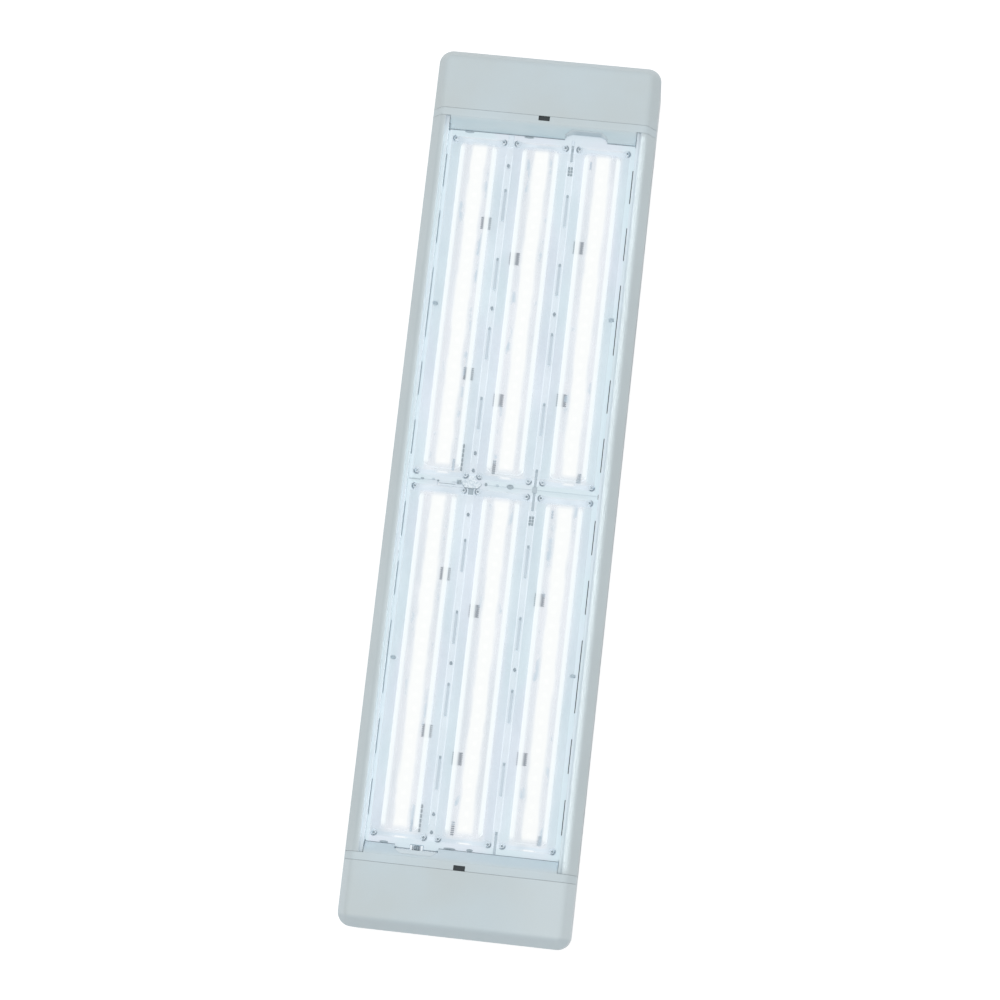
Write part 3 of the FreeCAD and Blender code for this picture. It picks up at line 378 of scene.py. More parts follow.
def lens_paint():
    # Clear plate with lit domes: a bright band over each row, grey strips beside it, and bright walls
    p = Paint("lens_acrylic")
    x, y, z = p.axes()
    across = p.math("PINGPONG", x, LINE * MM)
    local = p.math("WRAP", x, LINE * MM, -LINE * MM)
    row = p.math("PINGPONG", p.math("SUBTRACT", x, ROW_SHIFT * MM), LINE * MM)
    end = p.math("SIGN", y)
    signed = p.math("SUBTRACT", y, p.times(end, PLATE_MIDDLE * MM))
    along = p.math("ABSOLUTE", signed)
    streak = p.noise(60.0, 1.0, (1, 0.16, 1), 0.4)
    tint = p.noise(34.0, 1.0, (1, 0.35, 1), 0.4)

    # Where the plate is lit
    waver = p.ramp(p.noise(120.0, 2.0, (1, 0.3, 1)), *SOFT, -BAND_WAVER * MM, BAND_WAVER * MM)
    band = p.times(p.fall(p.math("ADD", row, waver), *BAND_EDGE), p.fall(along, *BAND_END))
    wall = p.most(p.fall(local, *WALL_LEFT), p.rise(local, *WALL_RIGHT))
    wall = p.times(wall, p.fall(across, *WALL_FOOT), p.fall(along, *WALL_END))
    lit = p.most(band, wall)
    dome = p.times(p.fall(across, *DOME_FOOT), p.fall(along, *DOME_END))

    # Painted bright dash of light on the flange below each dome
    dash_at = p.math("SUBTRACT", p.times(end, DASH_SHIFT * MM), DASH_AT * MM)
    from_dash = p.math("ABSOLUTE", p.math("SUBTRACT", signed, dash_at))
    dash = p.times(p.fall(row, *DASH_WIDTH), p.fall(from_dash, *DASH_EDGE, level=0.75))

    # Flange between the domes, with painted light: paler between the ribs on each line, and a painted
    # highlight on the ribs
    cool = p.patches(tint, (0.70, 0.85, 0.91, 1), (0.77, 0.84, 0.94, 1), CRISP)
    cool = p.mix(p.rise(along, *FLANGE_END), cool, (0.735, 0.83, 0.905, 1))
    flange = p.patches(streak, p.mix(0.08, cool, BLACK), p.mix(0.08, cool, (1.2, 1.2, 1.2, 1)))
    flange = p.mix(p.rise(across, *BETWEEN_RIBS, level=0.6), flange, (0.90, 0.98, 1.04, 1))
    rib_highlight = p.times(p.rise(z, *RIB_FOOT), p.rise(across, *RIB_SIDE))
    flange = p.mix(rib_highlight, flange, (1.04, 1.14, 1.21, 1))

    # Strips beside the bands, painted glow with soft darker bluish patches in it
    strip = p.patches(streak, (0.56, 0.63, 0.71, 1), (0.70, 0.75, 0.835, 1))
    strip_patch = p.ramp(p.noise(95.0, 2.0, (1, 0.55, 1)), *STRIP_PATCHES)
    strip_patch = p.times(strip_patch, p.math("SUBTRACT", dome, lit))
    strip = p.mix(strip_patch, strip, (0.50, 0.62, 0.72, 1))

    bright = p.mix(band, (0.90, 0.955, 0.97, 1), (0.93, 0.945, 0.94, 1))
    glow = p.mix(lit, p.mix(dome, flange, strip), bright)
    # Past the board there is nothing bright to see through the plate, so its rim has its own paler look
    left_rim = p.fall(x, *RIM_LEFT)
    rim = p.most(p.rise(x, *RIM_RIGHT), left_rim, p.rise(along, *RIM_END))
    rim_tone = p.patches(tint, (0.67, 0.79, 0.845, 1), (0.72, 0.785, 0.86, 1), CRISP)
    glow = p.mix(rim, glow, rim_tone)
    glow = p.mix(left_rim, glow, (0.73, 0.84, 0.90, 1))
    glow = p.mix(dash, glow, (0.97, 0.98, 0.98, 1))
    share = p.ramp(p.most(lit, dash), 0.0, 1.0, 0.45, 0.12)
    p.set(Base_Color=p.mix(share, BLACK, glow))
    p.set(Emission_Color=glow, Emission_Strength=p.math("SUBTRACT", 1.0, share))

    # Only the upper faces show: the hollow's own faces and the underside are clear,
    # and the feet of the plate's bars read as board
    hollow = p.times(p.fall(across, *HOLLOW_SIDE), p.fall(z, *HOLLOW_TOP), p.fall(along, *HOLLOW_END))
    top = p.times(p.rise(z, *UNDERSIDE), p.math("SUBTRACT", 1.0, hollow))
    foot = p.fall(z, *BAR_FOOT)
    alpha = p.most(p.ramp(p.most(lit, rim, dash), 0.0, 1.0, CLEAR_ALPHA, LIT_ALPHA),
                   p.ramp(strip_patch, 0.0, 1.0, CLEAR_ALPHA, STRIP_PATCH_ALPHA))
    p.set(Alpha=p.most(p.times(alpha, top), foot))
    p.set(Roughness=p.ramp(streak, *SOFT, 0.16, 0.26), IOR=1.49)
    p.bump(p.noise(300.0, 2.0), 0.03, strength=0.4)
    return p


def paint(material, *names):
    for name in names:
        mesh = nodes[name].data
        mesh.materials.clear()
        mesh.materials.append(material.mat)


def both(name):
    return [name + "_" + end for end in ENDS]


paint(moulding, "end_cap_upper")
paint(cap_paint(), "end_cap_lower")
paint(frame_paint(), *both("end_frame"))
paint(housing_paint(), "body_extrusion")
paint(latch, *both("latch"))
paint(lens_paint(), *both("lens_plate"))
paint(board_paint(), *both("led_board"))
paint(led_paint(), *["led_row_%s_%s" % (end, row) for end in ENDS for row in ("left", "middle", "right")])
paint(feed, "feed_connector")
paint(white, "terminal_block")
paint(speckle_paint(), "joint_cover")
paint(steel, *both("frame_screws"), "driver_screws")
paint(grey, "board_links")
paint(plate, "back_plate")
paint(case, "driver")
paint(brass, "earth_stud")
paint(lead_white, "feed_leads")
paint(lead_grey, "mains_lead")


# ---- Pieces ----

SHARP_ANGLE = 38
CRESCENT_STEPS = 14
CRESCENT_TIP = 0.25
CRESCENT_TAPER = 0.03


def row_of(count, pitch):
    # Places of a row of equal things about its middle
    return [(i - (count - 1) / 2) * pitch for i in range(count)]


def above(height, shape):
    # Radius and height of each point, for a shape given from a height up
    return [(radius, height + rise) for radius, rise in shape]


def corner_at(axis, side, u, v):
    corner = [u, v]
    corner.insert(axis, side)
    return tuple(corner)


class Form:
    # A mesh in the making, in millimetres, with a look on each face
    def __init__(self):
        self.points = []
        self.faces = []
        self.looks = []

    def face(self, corners, look):
        self.faces.append(tuple(corners))
        self.looks.append(look)

    def block(self, low, high, look, edge=0.2):
        # Block with a bevel on every edge: each corner has a point for each of its three faces
        at = {}
        corners = [(a, b, c) for a in (0, 1) for b in (0, 1) for c in (0, 1)]
        for corner in corners:
            for axis in range(3):
                point = []
                for k in range(3):
                    pull = 0 if k == axis else edge
                    point.append(high[k] - pull if corner[k] else low[k] + pull)
                at[corner, axis] = len(self.points)
                self.points.append(tuple(point))
        for axis in range(3):
            b, c = [k for k in range(3) if k != axis]
            for side in (0, 1):
                loop = [corner_at(axis, side, u, v) for u, v in ((0, 0), (1, 0), (1, 1), (0, 1))]
                self.face([at[corner, axis] for corner in loop], look)
            for u in (0, 1):
                for v in (0, 1):
                    near, far = corner_at(axis, 0, u, v), corner_at(axis, 1, u, v)
                    self.face((at[near, b], at[far, b], at[far, c], at[near, c]), look)
        for corner in corners:
            self.face([at[corner, axis] for axis in range(3)], look)

    def slab(self, x, y, half, low, high, look, edge=0.2):
        # Block about an upright axis, given by its half sizes
        self.block((x - half[0], y - half[1], low), (x + half[0], y + half[1], high), look, edge)

    def comb(self, x, y, count, pitch, half, rise, look, edge):
        # Row of equal blocks on a board, along the light
        for step in row_of(count, pitch):
            self.slab(x, y + step, half, BOARD_TOP, BOARD_TOP + rise, look, edge)

    def turned(self, x, y, profile, looks, sides=24, stretch=(1.0, 1.0)):
        # Closed form turned about an upright axis; its profile starts and ends on the axis
        rings = []
        for radius, z in profile:
            first = len(self.points)
            if radius == 0:
                self.points.append((x, y, z))
                rings.append([first])
                continue
            for i in range(sides):
                turn = 2 * math.pi * i / sides
                self.points.append((x + radius * stretch[0] * math.cos(turn),
                                    y + radius * stretch[1] * math.sin(turn), z))
            rings.append(list(range(first, first + sides)))
        for lower, upper, look in zip(rings, rings[1:], looks):
            for i in range(sides):
                j = (i + 1) % sides
                if len(lower) == 1:
                    self.face((lower[0], upper[j], upper[i]), look)
                elif len(upper) == 1:
                    self.face((lower[i], lower[j], upper[0]), look)
                else:
                    self.face((lower[i], lower[j], upper[j], upper[i]), look)

    def button(self, x, y, profile, look, sides=24, stretch=(1.0, 1.0)):
        # Turned form with one look
        self.turned(x, y, profile, [look] * (len(profile) - 1), sides, stretch)

    def loft(self, *rings, look):
        # Closed form through rings of the same number of points
        count = len(rings[0])
        starts = []
        for points in rings:
            starts.append(len(self.points))
            self.points += points
        self.face([starts[0] + i for i in reversed(range(count))], look)
        self.face([starts[-1] + i for i in range(count)], look)
        for a, b in zip(starts, starts[1:]):
            for i in range(count):
                j = (i + 1) % count
                self.face((a + i, a + j, b + j, b + i), look)

    def crescent(self, x, y, z, rise, inner, outer, middle, half, look):
        # Open ring about an upright axis, thinner towards its two ends; angles in degrees
        low, high = [], []
        for inside in (False, True):
            for k in range(CRESCENT_STEPS + 1):
                i = CRESCENT_STEPS - k if inside else k
                turn = math.radians(middle - half + 2 * half * i / CRESCENT_STEPS)
                share = CRESCENT_TIP + (1 - CRESCENT_TIP) * math.sin(math.pi * i / CRESCENT_STEPS)
                radius = outer - (outer - inner) * share if inside else outer
                crown = radius * (1 + CRESCENT_TAPER if inside else 1 - CRESCENT_TAPER)
                low.append((x + radius * math.cos(turn), y + radius * math.sin(turn), z))
                high.append((x + crown * math.cos(turn), y + crown * math.sin(turn), z + rise))
        self.loft(low, high, look=look)

    def piece(self, name, slot, *replaced):
        mesh = bpy.data.meshes.new(name)
        mesh.from_pydata([tuple(c * MM for c in p) for p in self.points], [], self.faces)
        looks = list(dict.fromkeys(self.looks))
        for look in looks:
            mesh.materials.append(look.mat)
        for polygon, look in zip(mesh.polygons, self.looks):
            polygon.material_index = looks.index(look)
            polygon.use_smooth = True
        work = bmesh.new()
        work.from_mesh(mesh)
        bmesh.ops.recalc_face_normals(work, faces=work.faces)
        work.to_mesh(mesh)
        work.free()
        mesh.set_sharp_from_angle(angle=math.radians(SHARP_ANGLE))
        obj = bpy.data.objects.new(name, mesh)
        scene.collection.objects.link(obj)
        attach(obj, "root")
        if replaced:
            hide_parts(*replaced)


# Lens screws: shapes from the plate's top up
SCREW_ACROSS = 19.4
SCREW_ALONG = 136.45
SHANK_RADIUS = 1.4
SCREW_SHANK = [(0, WEB_LOW), (SHANK_RADIUS, WEB_LOW), (SHANK_RADIUS, LENS_TOP)]
SCREW_WASHER = [(2.65, 0.0), (2.7, 0.1), (2.65, 0.2), (1.7, 0.22)]
SCREW_HEAD = [(1.75, 0.9), (1.6, 1.25), (1.3, 1.5), (1.05, 1.6)]
SCREW_RECESS = [(0.95, 1.5), (0.75, 0.8), (0, 0.7)]
SHADE_RING_LIFT = 0.15
SHADE_RING_RISE = 0.7
SHADE_RING_INNER = 1.85
SHADE_RING_OUTER = 2.7
SHADE_RING_HALF = 80
# Way the dark open rings face, in degrees, by plate and end of the plate: left screw, right screw. The
# rings are painted shadow crescents, turned to the shadow side of each head
SHADE_RING_TURNS = {("upper", 1): (180, 0), ("upper", -1): (-125, -55),
                ("lower", 1): (180, 0), ("lower", -1): (-60, -40)}


def lens_screw_sets():
    # Zinc pan heads with a driver recess, on a pale washer, with a darker open ring beside each head as a
    # painted shadow crescent
    profile = SCREW_SHANK + above(LENS_TOP, SCREW_WASHER + SCREW_HEAD + SCREW_RECESS)
    for middle, end in PLATES:
        form = Form()
        for row in ROWS:
            for side in SIDES:
                for way in SIDES:
                    x = row * PITCH + side * SCREW_ACROSS
                    y = middle + way * SCREW_ALONG
                    # The recess is grey as painted shade, paler on the upper plate's lower screws
                    recess = liner if (end, way) == ("upper", -1) else slate
                    looks = [steel] * (len(SCREW_SHANK) - 1) + [cover] * len(SCREW_WASHER)
                    looks += [steel] * len(SCREW_HEAD) + [recess] * len(SCREW_RECESS)
                    form.turned(x, y, profile, looks)
                    left, right = SHADE_RING_TURNS[end, way]
                    form.crescent(x, y, LENS_TOP + SHADE_RING_LIFT, SHADE_RING_RISE, SHADE_RING_INNER, SHADE_RING_OUTER,
                                  left if side < 0 else right, SHADE_RING_HALF, ring)
        form.piece("lens_screw_set_" + end, "screw", "lens_screws_" + end)


# Driver chips: lens row, place across from the row's middle, place along from the plate's middle
CHIPS = ((-1, 11.8, 70.0), (-1, 11.8, -54.0), (0, -11.8, 43.0),
         (0, -11.8, -73.0), (1, -11.8, 57.0), (1, -11.8, -68.0))
CHIP_HALF = (3.0, 5.0)
CHIP_RISE = 1.6
LEGS = 7
LEG_PITCH = 1.5
LEG_HALF = 0.4
LEG_RISE = 1.0
LEG_TO_ROW = 3.9
LEG_TO_EDGE = 4.3


def board_chip_sets():
    # Driver chips on the boards, with their rows of legs
    for middle, end in PLATES:
        form = Form()
        for row, across, along in CHIPS:
            x = row * PITCH + across
            y = middle + along
            to_row = -1 if across > 0 else 1
            form.slab(x, y, CHIP_HALF, BOARD_TOP, BOARD_TOP + CHIP_RISE, dark, edge=0.3)
            low, high = sorted((x - to_row * LEG_TO_EDGE, x + to_row * LEG_TO_ROW))
            for step in row_of(LEGS, LEG_PITCH):
                leg = y + step
                form.block((low, leg - LEG_HALF, BOARD_TOP), (high, leg + LEG_HALF, BOARD_TOP + LEG_RISE),
                           dark, edge=0.15)
        form.piece("board_chip_set_" + end, "dark_part", "board_chips_" + end)


# Sockets: place across, and along from the plate's middle
COLUMN_AT = (-PITCH + 12.0, -121.85)
COMB_AT = (-9.3, -126.85)
FINE_COMB_AT = (PITCH + 8.4, -129.15)
END_BLOCKS_AT = (PITCH - 9.2, 125.35)


def board_socket_sets():
    # Sockets near the board ends
    for middle, end in PLATES:
        form = Form()
        # Left row: a lobed column beside a pale bar
        x, y = COLUMN_AT[0], middle + COLUMN_AT[1]
        form.slab(x - 3.5, y - 6.25, (1.0, 4.75), BOARD_TOP, BOARD_TOP + 1.2, liner, edge=0.5)
        form.comb(x + 3.15, y, count=6, pitch=3.7, half=(0.75, 1.5), rise=2.2, look=dark, edge=0.3)
        # Middle row: a comb of contacts, the last two of them paler
        x, y = COMB_AT[0], middle + COMB_AT[1]
        form.comb(x, y - 1.6, count=5, pitch=1.6, half=(1.3, 0.5), rise=2.0, look=dark, edge=0.2)
        form.comb(x, y + 4.0, count=2, pitch=1.6, half=(1.3, 0.5), rise=2.0, look=grey, edge=0.2)
        # Right row: a fine comb over a pale bar, and pale blocks at the other end
        x, y = FINE_COMB_AT[0], middle + FINE_COMB_AT[1]
        form.comb(x - 0.1, y, count=6, pitch=1.35, half=(1.9, 0.36), rise=2.0, look=grey, edge=0.15)
        form.slab(x, y, (1.2, 3.9), BOARD_TOP, BOARD_TOP + 0.8, liner)
        x, y = END_BLOCKS_AT[0], middle + END_BLOCKS_AT[1]
        form.comb(x, y, count=3, pitch=2.2, half=(0.8, 0.9), rise=1.8, look=liner, edge=0.3)
        form.piece("board_socket_set_" + end, "dark_part", "board_sockets_" + end)


# Plugs in the round holes of the lens plates, along from the plate's middle
PLUGS_LEFT = (-131.85, -117.85, 0.0, 117.85)
PLUG_SIDES = 20
PLUG_SHAFT = [(0, BOARD_TOP), (1.2, BOARD_TOP)] + above(LENS_TOP, [(1.2, -0.3), (1.0, -0.1), (0, -0.05)])
PLUG_CAP = above(LENS_TOP, [(0, -0.04), (0.8, -0.04), (1.0, 0.15), (0.7, 0.3), (0, 0.3)])
PLUG_CAP_STRETCH = (1.1, 1.5)


def lens_plugs():
    # A shaft with an oval cap in each hole
    form = Form()
    for middle in MIDDLES:
        for x, y in [(-LINE, middle + along) for along in PLUGS_LEFT] + [(LINE, middle)]:
            form.button(x, y, PLUG_SHAFT, ring, PLUG_SIDES)
            form.button(x, y, PLUG_CAP, ring, PLUG_SIDES, PLUG_CAP_STRETCH)
    form.piece("lens_plugs", "dark_part")


# Slots of the lens plates: four on each line, and one at each end of the right line
SLOTS = 4
SLOT_PITCH = 2 * PLATE_HALF / (SLOTS + 1)
SLOT_HALF = 12.9
LINER_HALF = 0.92
LINER_TOP = LENS_TOP - 0.3
END_LINER_LOW = LENS_LOW + 0.2
END_SLOT_LENGTH = 16.4
TOP_SLOT_SPLIT = 3.3
UNDER_LIP = 1.3
SHORT_OF_JOINT = -0.1
LINER_GAP = 0.1
WIDE_HALF = 2.1
WIDE_LENGTH = 8.5
PEG = above(LENS_TOP, [(0, -0.4), (0.85, -0.4), (0.85, -0.1), (0.6, 0.0), (0, 0.0)])
PEG_SIDES = 16
PEG_STRETCH = (1.0, 1.5)
PEG_INSET = 1.1
TOP_PEG_INSET = 7.0
END_PEG_INSET = 15.3


def lens_slot_liners():
    # Grey liners in the slots, with a peg in most of them, and a wide one at the top of the left line
    form = Form()
    for middle, end in PLATES:
        for line in (-LINE, LINE):
            for step in row_of(SLOTS, SLOT_PITCH):
                y = middle + step
                form.slab(line, y, (LINER_HALF, SLOT_HALF), BOARD_TOP, LINER_TOP, slot_pale, edge=0.15)
                # Dark peg at the slot's upper end: painted shade of the slot's end wall
                form.button(line, y + SLOT_HALF - PEG_INSET, PEG, slate, PEG_SIDES, PEG_STRETCH)
        for way in SIDES:
            top_end = end == "upper" and way > 0
            start = PLATE_HALF - END_SLOT_LENGTH
            last = PLATE_HALF + (UNDER_LIP if way * middle > 0 else SHORT_OF_JOINT)
            lengths = [(start, last, end_grey)]
            if top_end:
                split = PLATE_HALF - TOP_SLOT_SPLIT
                lengths = [(start, split - LINER_GAP, end_grey), (split, last, cover)]
            for a, b, look in lengths:
                low, high = sorted((middle + way * a, middle + way * b))
                form.block((LINE - LINER_HALF, low, END_LINER_LOW), (LINE + LINER_HALF, high, LINER_TOP),
                           look, edge=0.1)
            if top_end or way < 0:
                inset = TOP_PEG_INSET if top_end else END_PEG_INSET
                form.button(LINE, middle + way * (PLATE_HALF - inset), PEG, slate, PEG_SIDES, PEG_STRETCH)
        upper_edge = middle + PLATE_HALF
        last = upper_edge + (UNDER_LIP if end == "upper" else SHORT_OF_JOINT)
        form.block((-LINE - WIDE_HALF, upper_edge - WIDE_LENGTH, END_LINER_LOW),
                   (-LINE + WIDE_HALF, last, LINER_TOP), cover if end == "upper" else slate, edge=0.15)
    form.piece("lens_slot_liners", "dark_part")


PADS_INSET = 24.5
PAD_HALF = (0.85, 1.1)
PAD_LOW = LENS_TOP - 0.4
PAD_TOP = LENS_TOP - 0.05


def lens_pad_cells():
    # Pads on the right line of each plate, two by three
    form = Form()
    for middle in MIDDLES:
        for across in row_of(2, 2.1):
            for along in row_of(3, 2.6):
                y = middle + PLATE_HALF - PADS_INSET + along
                form.slab(LINE + across, y, PAD_HALF, PAD_LOW, PAD_TOP, grey, edge=0.15)
    form.piece("lens_pad_cells", "dark_part")


# Joint between the plates
JOINT_SEAL_HALF = (73.0, 1.2)
TONGUE_HALF = 16.85
TONGUE_DEPTH = 3.57
TONGUE_SIDE = 16.7
TONGUE_STUB_HALF = 5.3
TONGUE_ROOT = -0.2
SEAL_HALF = 0.18
TONGUE_SEAL_LOW = LENS_LOW + 0.1
TONGUE_SEAL_TOP = LENS_TOP - 0.05
# Small ovals on the joint: place, half sizes, look
OVALS = ((-64.1, 0.4, 1.4, 0.9, slate), (-55.3, 0.7, 1.2, 0.9, liner), (-51.5, -0.2, 0.9, 0.8, grey),
         (-13.6, 0.5, 1.1, 1.3, grey), (-4.7, 0.4, 1.2, 1.1, liner), (5.5, 0.5, 2.8, 1.9, slate),
         (5.4, 1.3, 2.0, 0.9, grey))
OVAL = above(LENS_TOP, [(0, 0.0), (1, 0.0), (1, 0.3), (0.8, 0.6), (0, 0.65)])
CELLS_AT = (-34.9, 0.3)
CELL_OFFSET = 0.9
CELL_HALF = (0.8, 0.8)
CELL_RISE = 0.7
JOINT_PAD_HALF = (1.9, 2.4)
JOINT_PAD_RISE = 0.3
JOINT_PLUG = ((74.86, -2.4, LENS_LOW), (75.46, 1.6, LENS_TOP + 0.1))
# Thin strips along the joint: from, to, near edge
STRIPS = ((-50.6, -37.6, -2.05), (-74.4, -65.6, -0.75))
STRIP_WIDTH = 0.35
STRIP_RISE = 0.12


def joint_seal():
    # Dark seal on the web, under the gap between the plates
    form = Form()
    form.slab(0, 0, JOINT_SEAL_HALF, WEB_TOP, BOARD_TOP, dark)
    form.piece("joint_seal", "dark_part")


def tongue_seal():
    # Pale seal round the tongue's place at the joint, with a stub in its middle
    form = Form()
    form.slab(-TONGUE_X, -TONGUE_DEPTH - SEAL_HALF, (TONGUE_HALF, SEAL_HALF),
              TONGUE_SEAL_LOW, TONGUE_SEAL_TOP, cover, edge=0.05)
    for offset, half, edge in ((-TONGUE_SIDE, SEAL_HALF, 0.05), (TONGUE_SIDE, SEAL_HALF, 0.05),
                               (0.0, TONGUE_STUB_HALF, 0.1)):
        x = offset - TONGUE_X
        form.block((x - half, -TONGUE_DEPTH, TONGUE_SEAL_LOW), (x + half, TONGUE_ROOT, TONGUE_SEAL_TOP),
                   cover, edge)
    form.piece("tongue_seal", "cover")


def joint_clips():
    # Small clips on the joint, a pad on the right line, a plug in the right gap and two thin strips
    form = Form()
    for x, y, half_x, half_y, look in OVALS:
        form.button(x, y, OVAL, look, stretch=(half_x, half_y))
    for i in SIDES:
        for j in SIDES:
            form.slab(CELLS_AT[0] + i * CELL_OFFSET, CELLS_AT[1] + j * CELL_OFFSET, CELL_HALF,
                      LENS_TOP, LENS_TOP + CELL_RISE, grey if i == j else slate)
    form.slab(LINE, 0, JOINT_PAD_HALF, LENS_TOP, LENS_TOP + JOINT_PAD_RISE, end_grey, edge=0.12)
    form.block(*JOINT_PLUG, dark, edge=0.1)
    for x0, x1, y in STRIPS:
        form.block((x0, y, LENS_TOP), (x1, y + STRIP_WIDTH, LENS_TOP + STRIP_RISE), grey, edge=0.04)
    form.piece("joint_clips", "dark_part")


# Outline of the dark strip under the joint cover, about the left line
SHADOW_EDGE_OUTLINE = [(4.8, -3.9), (7.6, -1.0), (7.6, 0.6), (-7.6, 0.6), (-7.6, -1.0), (-4.8, -3.9)]
SHADOW_EDGE_RISE = 0.25


def cover_shadow_edge():
    # Dark strip under the joint cover's edge: a painted shadow
    form = Form()
    low = [(-LINE + x, y, LENS_TOP) for x, y in SHADOW_EDGE_OUTLINE]
    form.loft(low, [(x, y, z + SHADOW_EDGE_RISE) for x, y, z in low], look=grey)
    form.piece("cover_shadow_edge", "dark_part")


# Small stops on the plate edges beside the lips: place, half sizes, look
STOPS = ((-60.7, -285.4, 3.4, 0.9, grey), (-9.7, -285.4, 4.8, 0.7, grey), (5.9, -285.0, 2.5, 1.1, grey),
         (-10.8, 285.5, 4.0, 0.8, grey), (-59.0, 285.4, 3.8, 0.8, slate))
STOP = above(LENS_TOP, [(0, 0.0), (1, 0.0), (1, 0.2), (0.85, 0.5), (0, 0.6)])
STOP_SIDES = 28


def lens_edge_stops():
    # Flat oval buttons
    form = Form()
    for x, y, half_x, half_y, look in STOPS:
        form.button(x, y, STOP, look, STOP_SIDES, (half_x, half_y))
    form.piece("lens_edge_stops", "dark_part")


# Dark strips along the lips that draw the shadow line under their edges: from, to, place along the light
LIP_SHADOW_LINES = ((-74.6, 18.0, 286.35), (52.0, 74.6, 286.35), (-74.6, -52.0, -286.3), (-18.0, 74.6, -286.3),
             (-51.4, -40.2, -288.65), (-29.8, -18.6, -288.65))
LIP_SHADOW_HALF = 0.2
LIP_SHADOW_LOW = LENS_TOP - 0.2
LIP_SHADOW_TOP = LENS_TOP + 0.15
# Seals in the gaps beside a plate: from and to, along from the plate's middle
GAP_SEALS = ((-123.2, -96.0), (-75.6, -48.9), (-28.5, 28.5), (48.9, 75.6), (96.0, 123.2))
# Their sections: across from and to, low, high, look, bevel. On the left a pale seal with a grey bead,
# on the right a dark seal with a flap over the plate's edge
GAP_SECTIONS = ((-75.48, -74.82, LENS_LOW, LENS_TOP - 0.4, cover, 0.05),
                (-75.47, -75.15, LENS_TOP - 0.45, LENS_TOP - 0.1, grey, 0.05),
                (74.85, 75.45, LENS_LOW, LENS_TOP - 0.1, dark, 0.05),
                (74.6, 75.46, LENS_TOP, LENS_TOP + 0.12, dark, 0.04))
SIDE_PLUG_X = 70.4
SIDE_PLUG = [(0, BOARD_TOP), (1, BOARD_TOP), (1, LENS_TOP), (0.8, LENS_TOP + 0.2), (0, LENS_TOP + 0.2)]
SIDE_PLUG_STRETCH = (2.1, 1.35)


def lens_edge_seals():
    # Dark strips along the lips as painted shadow lines, seals in the gaps beside the plates, and plugs
    # in the side holes
    form = Form()
    for x0, x1, y in LIP_SHADOW_LINES:
        form.block((x0, y - LIP_SHADOW_HALF, LIP_SHADOW_LOW), (x1, y + LIP_SHADOW_HALF, LIP_SHADOW_TOP),
                   dark_and_shade_grey, edge=0.05)
    for middle in MIDDLES:
        for start, stop in GAP_SEALS:
            for x0, x1, low, high, look, edge in GAP_SECTIONS:
                form.block((x0, middle + start, low), (x1, middle + stop, high), look, edge)
        for side in SIDES:
            form.button(side * SIDE_PLUG_X, middle, SIDE_PLUG, slate, stretch=SIDE_PLUG_STRETCH)
    form.piece("lens_edge_seals", "dark_part")


CONTACT_BLOCK = ((-36.8, -290.1, WEB_TOP + 4.9), (-33.0, -285.8, WEB_TOP + 7.4))
PINS_X = (-36.0, -33.9)
PIN_Y = -288.0
PIN_HALF = (0.45, 1.2)
PIN_LOW = WEB_TOP + 7.0
PIN_TOP = WEB_TOP + 7.7


def feed_contacts():
    # Contact block of the feed connector, with two pins
    form = Form()
    form.block(*CONTACT_BLOCK, dark_and_shade_grey, edge=0.3)
    for x in PINS_X:
        form.slab(x, PIN_Y, PIN_HALF, PIN_LOW, PIN_TOP, grey, edge=0.15)
    form.piece("feed_contacts", "dark_part")


def lip_height(y):
    # Height of the lips' slope
    return LIP_FOOT + (abs(y) - LIP_TIP) * LIP_SLOPE


# Notches in the lips: where the mouth and the back lie along the light
NOTCH_MOUTH = 289.65
NOTCH_BACK = 293.17
# Parts of the lip over the feed connector, across from the notch's middle:
# mouth from, back from, back to, mouth to, underside, depth under the slope
FEED_LIP = ((-16.85, -11.9, -5.1, -5.1, 50.5, 0.03),
            (-5.3, -5.3, 5.3, 5.3, 52.8, 0.04),
            (5.1, 5.1, 11.9, 16.85, 50.5, 0.03))


def feed_lip():
    # Lip over the feed connector, on its base; its paler bluish grey is painted light, like the lips'
    # glow
    form = Form()
    for mouth0, back0, back1, mouth1, low, sunk in FEED_LIP:
        outline = ((mouth0, NOTCH_MOUTH), (mouth1, NOTCH_MOUTH), (back1, NOTCH_BACK), (back0, NOTCH_BACK))
        base = [(x - TONGUE_X, -y, low) for x, y in outline]
        form.loft(base, [(x, y, lip_height(y) - sunk) for x, y, _ in base], look=lip_pale)
    form.piece("feed_lip", "moulding")


CORNER_INNER = 74.92
CORNER_OUTER = 75.48
CORNER_NEAR = 290.8
CORNER_FAR = 295.3
CORNER_LOW = 51.2
CORNER_TOP = 58.7
CORNER_SUNK = 0.3


def lip_corner_pads():
    # Pads that close the upper part of the gap between the lips and the rails
    form = Form()
    outline = ((CORNER_INNER, CORNER_NEAR), (CORNER_OUTER, CORNER_NEAR),
               (CORNER_OUTER, CORNER_FAR), (CORNER_INNER, CORNER_FAR))
    for side in SIDES:
        for way in SIDES:
            base = [(side * x, way * y, CORNER_LOW) for x, y in outline]
            crown = [(x, y, min(CORNER_TOP, lip_height(y) - CORNER_SUNK)) for x, y, _ in base]
            form.loft(base, crown, look=moulding)
    form.piece("lip_corner_pads", "moulding")


# Notch liner: where it meets the lip, and where it comes down on the plate. Each is one half,
# across from the notch's middle
NOTCH_EDGE = ((16.87, 288.2), (16.87, 289.58), (11.89, NOTCH_BACK))
NOTCH_TOE = ((16.1, 288.2), (15.7, 289.2), (11.0, 291.0))
NOTCH_TREAD = 0.42
EDGE_SUNK = 0.05
TREAD_SUNK = 0.1


def both_halves(half):
    left = [(TONGUE_X - x, y) for x, y in half]
    right = [(TONGUE_X + x, y) for x, y in half]
    return left + right[::-1]


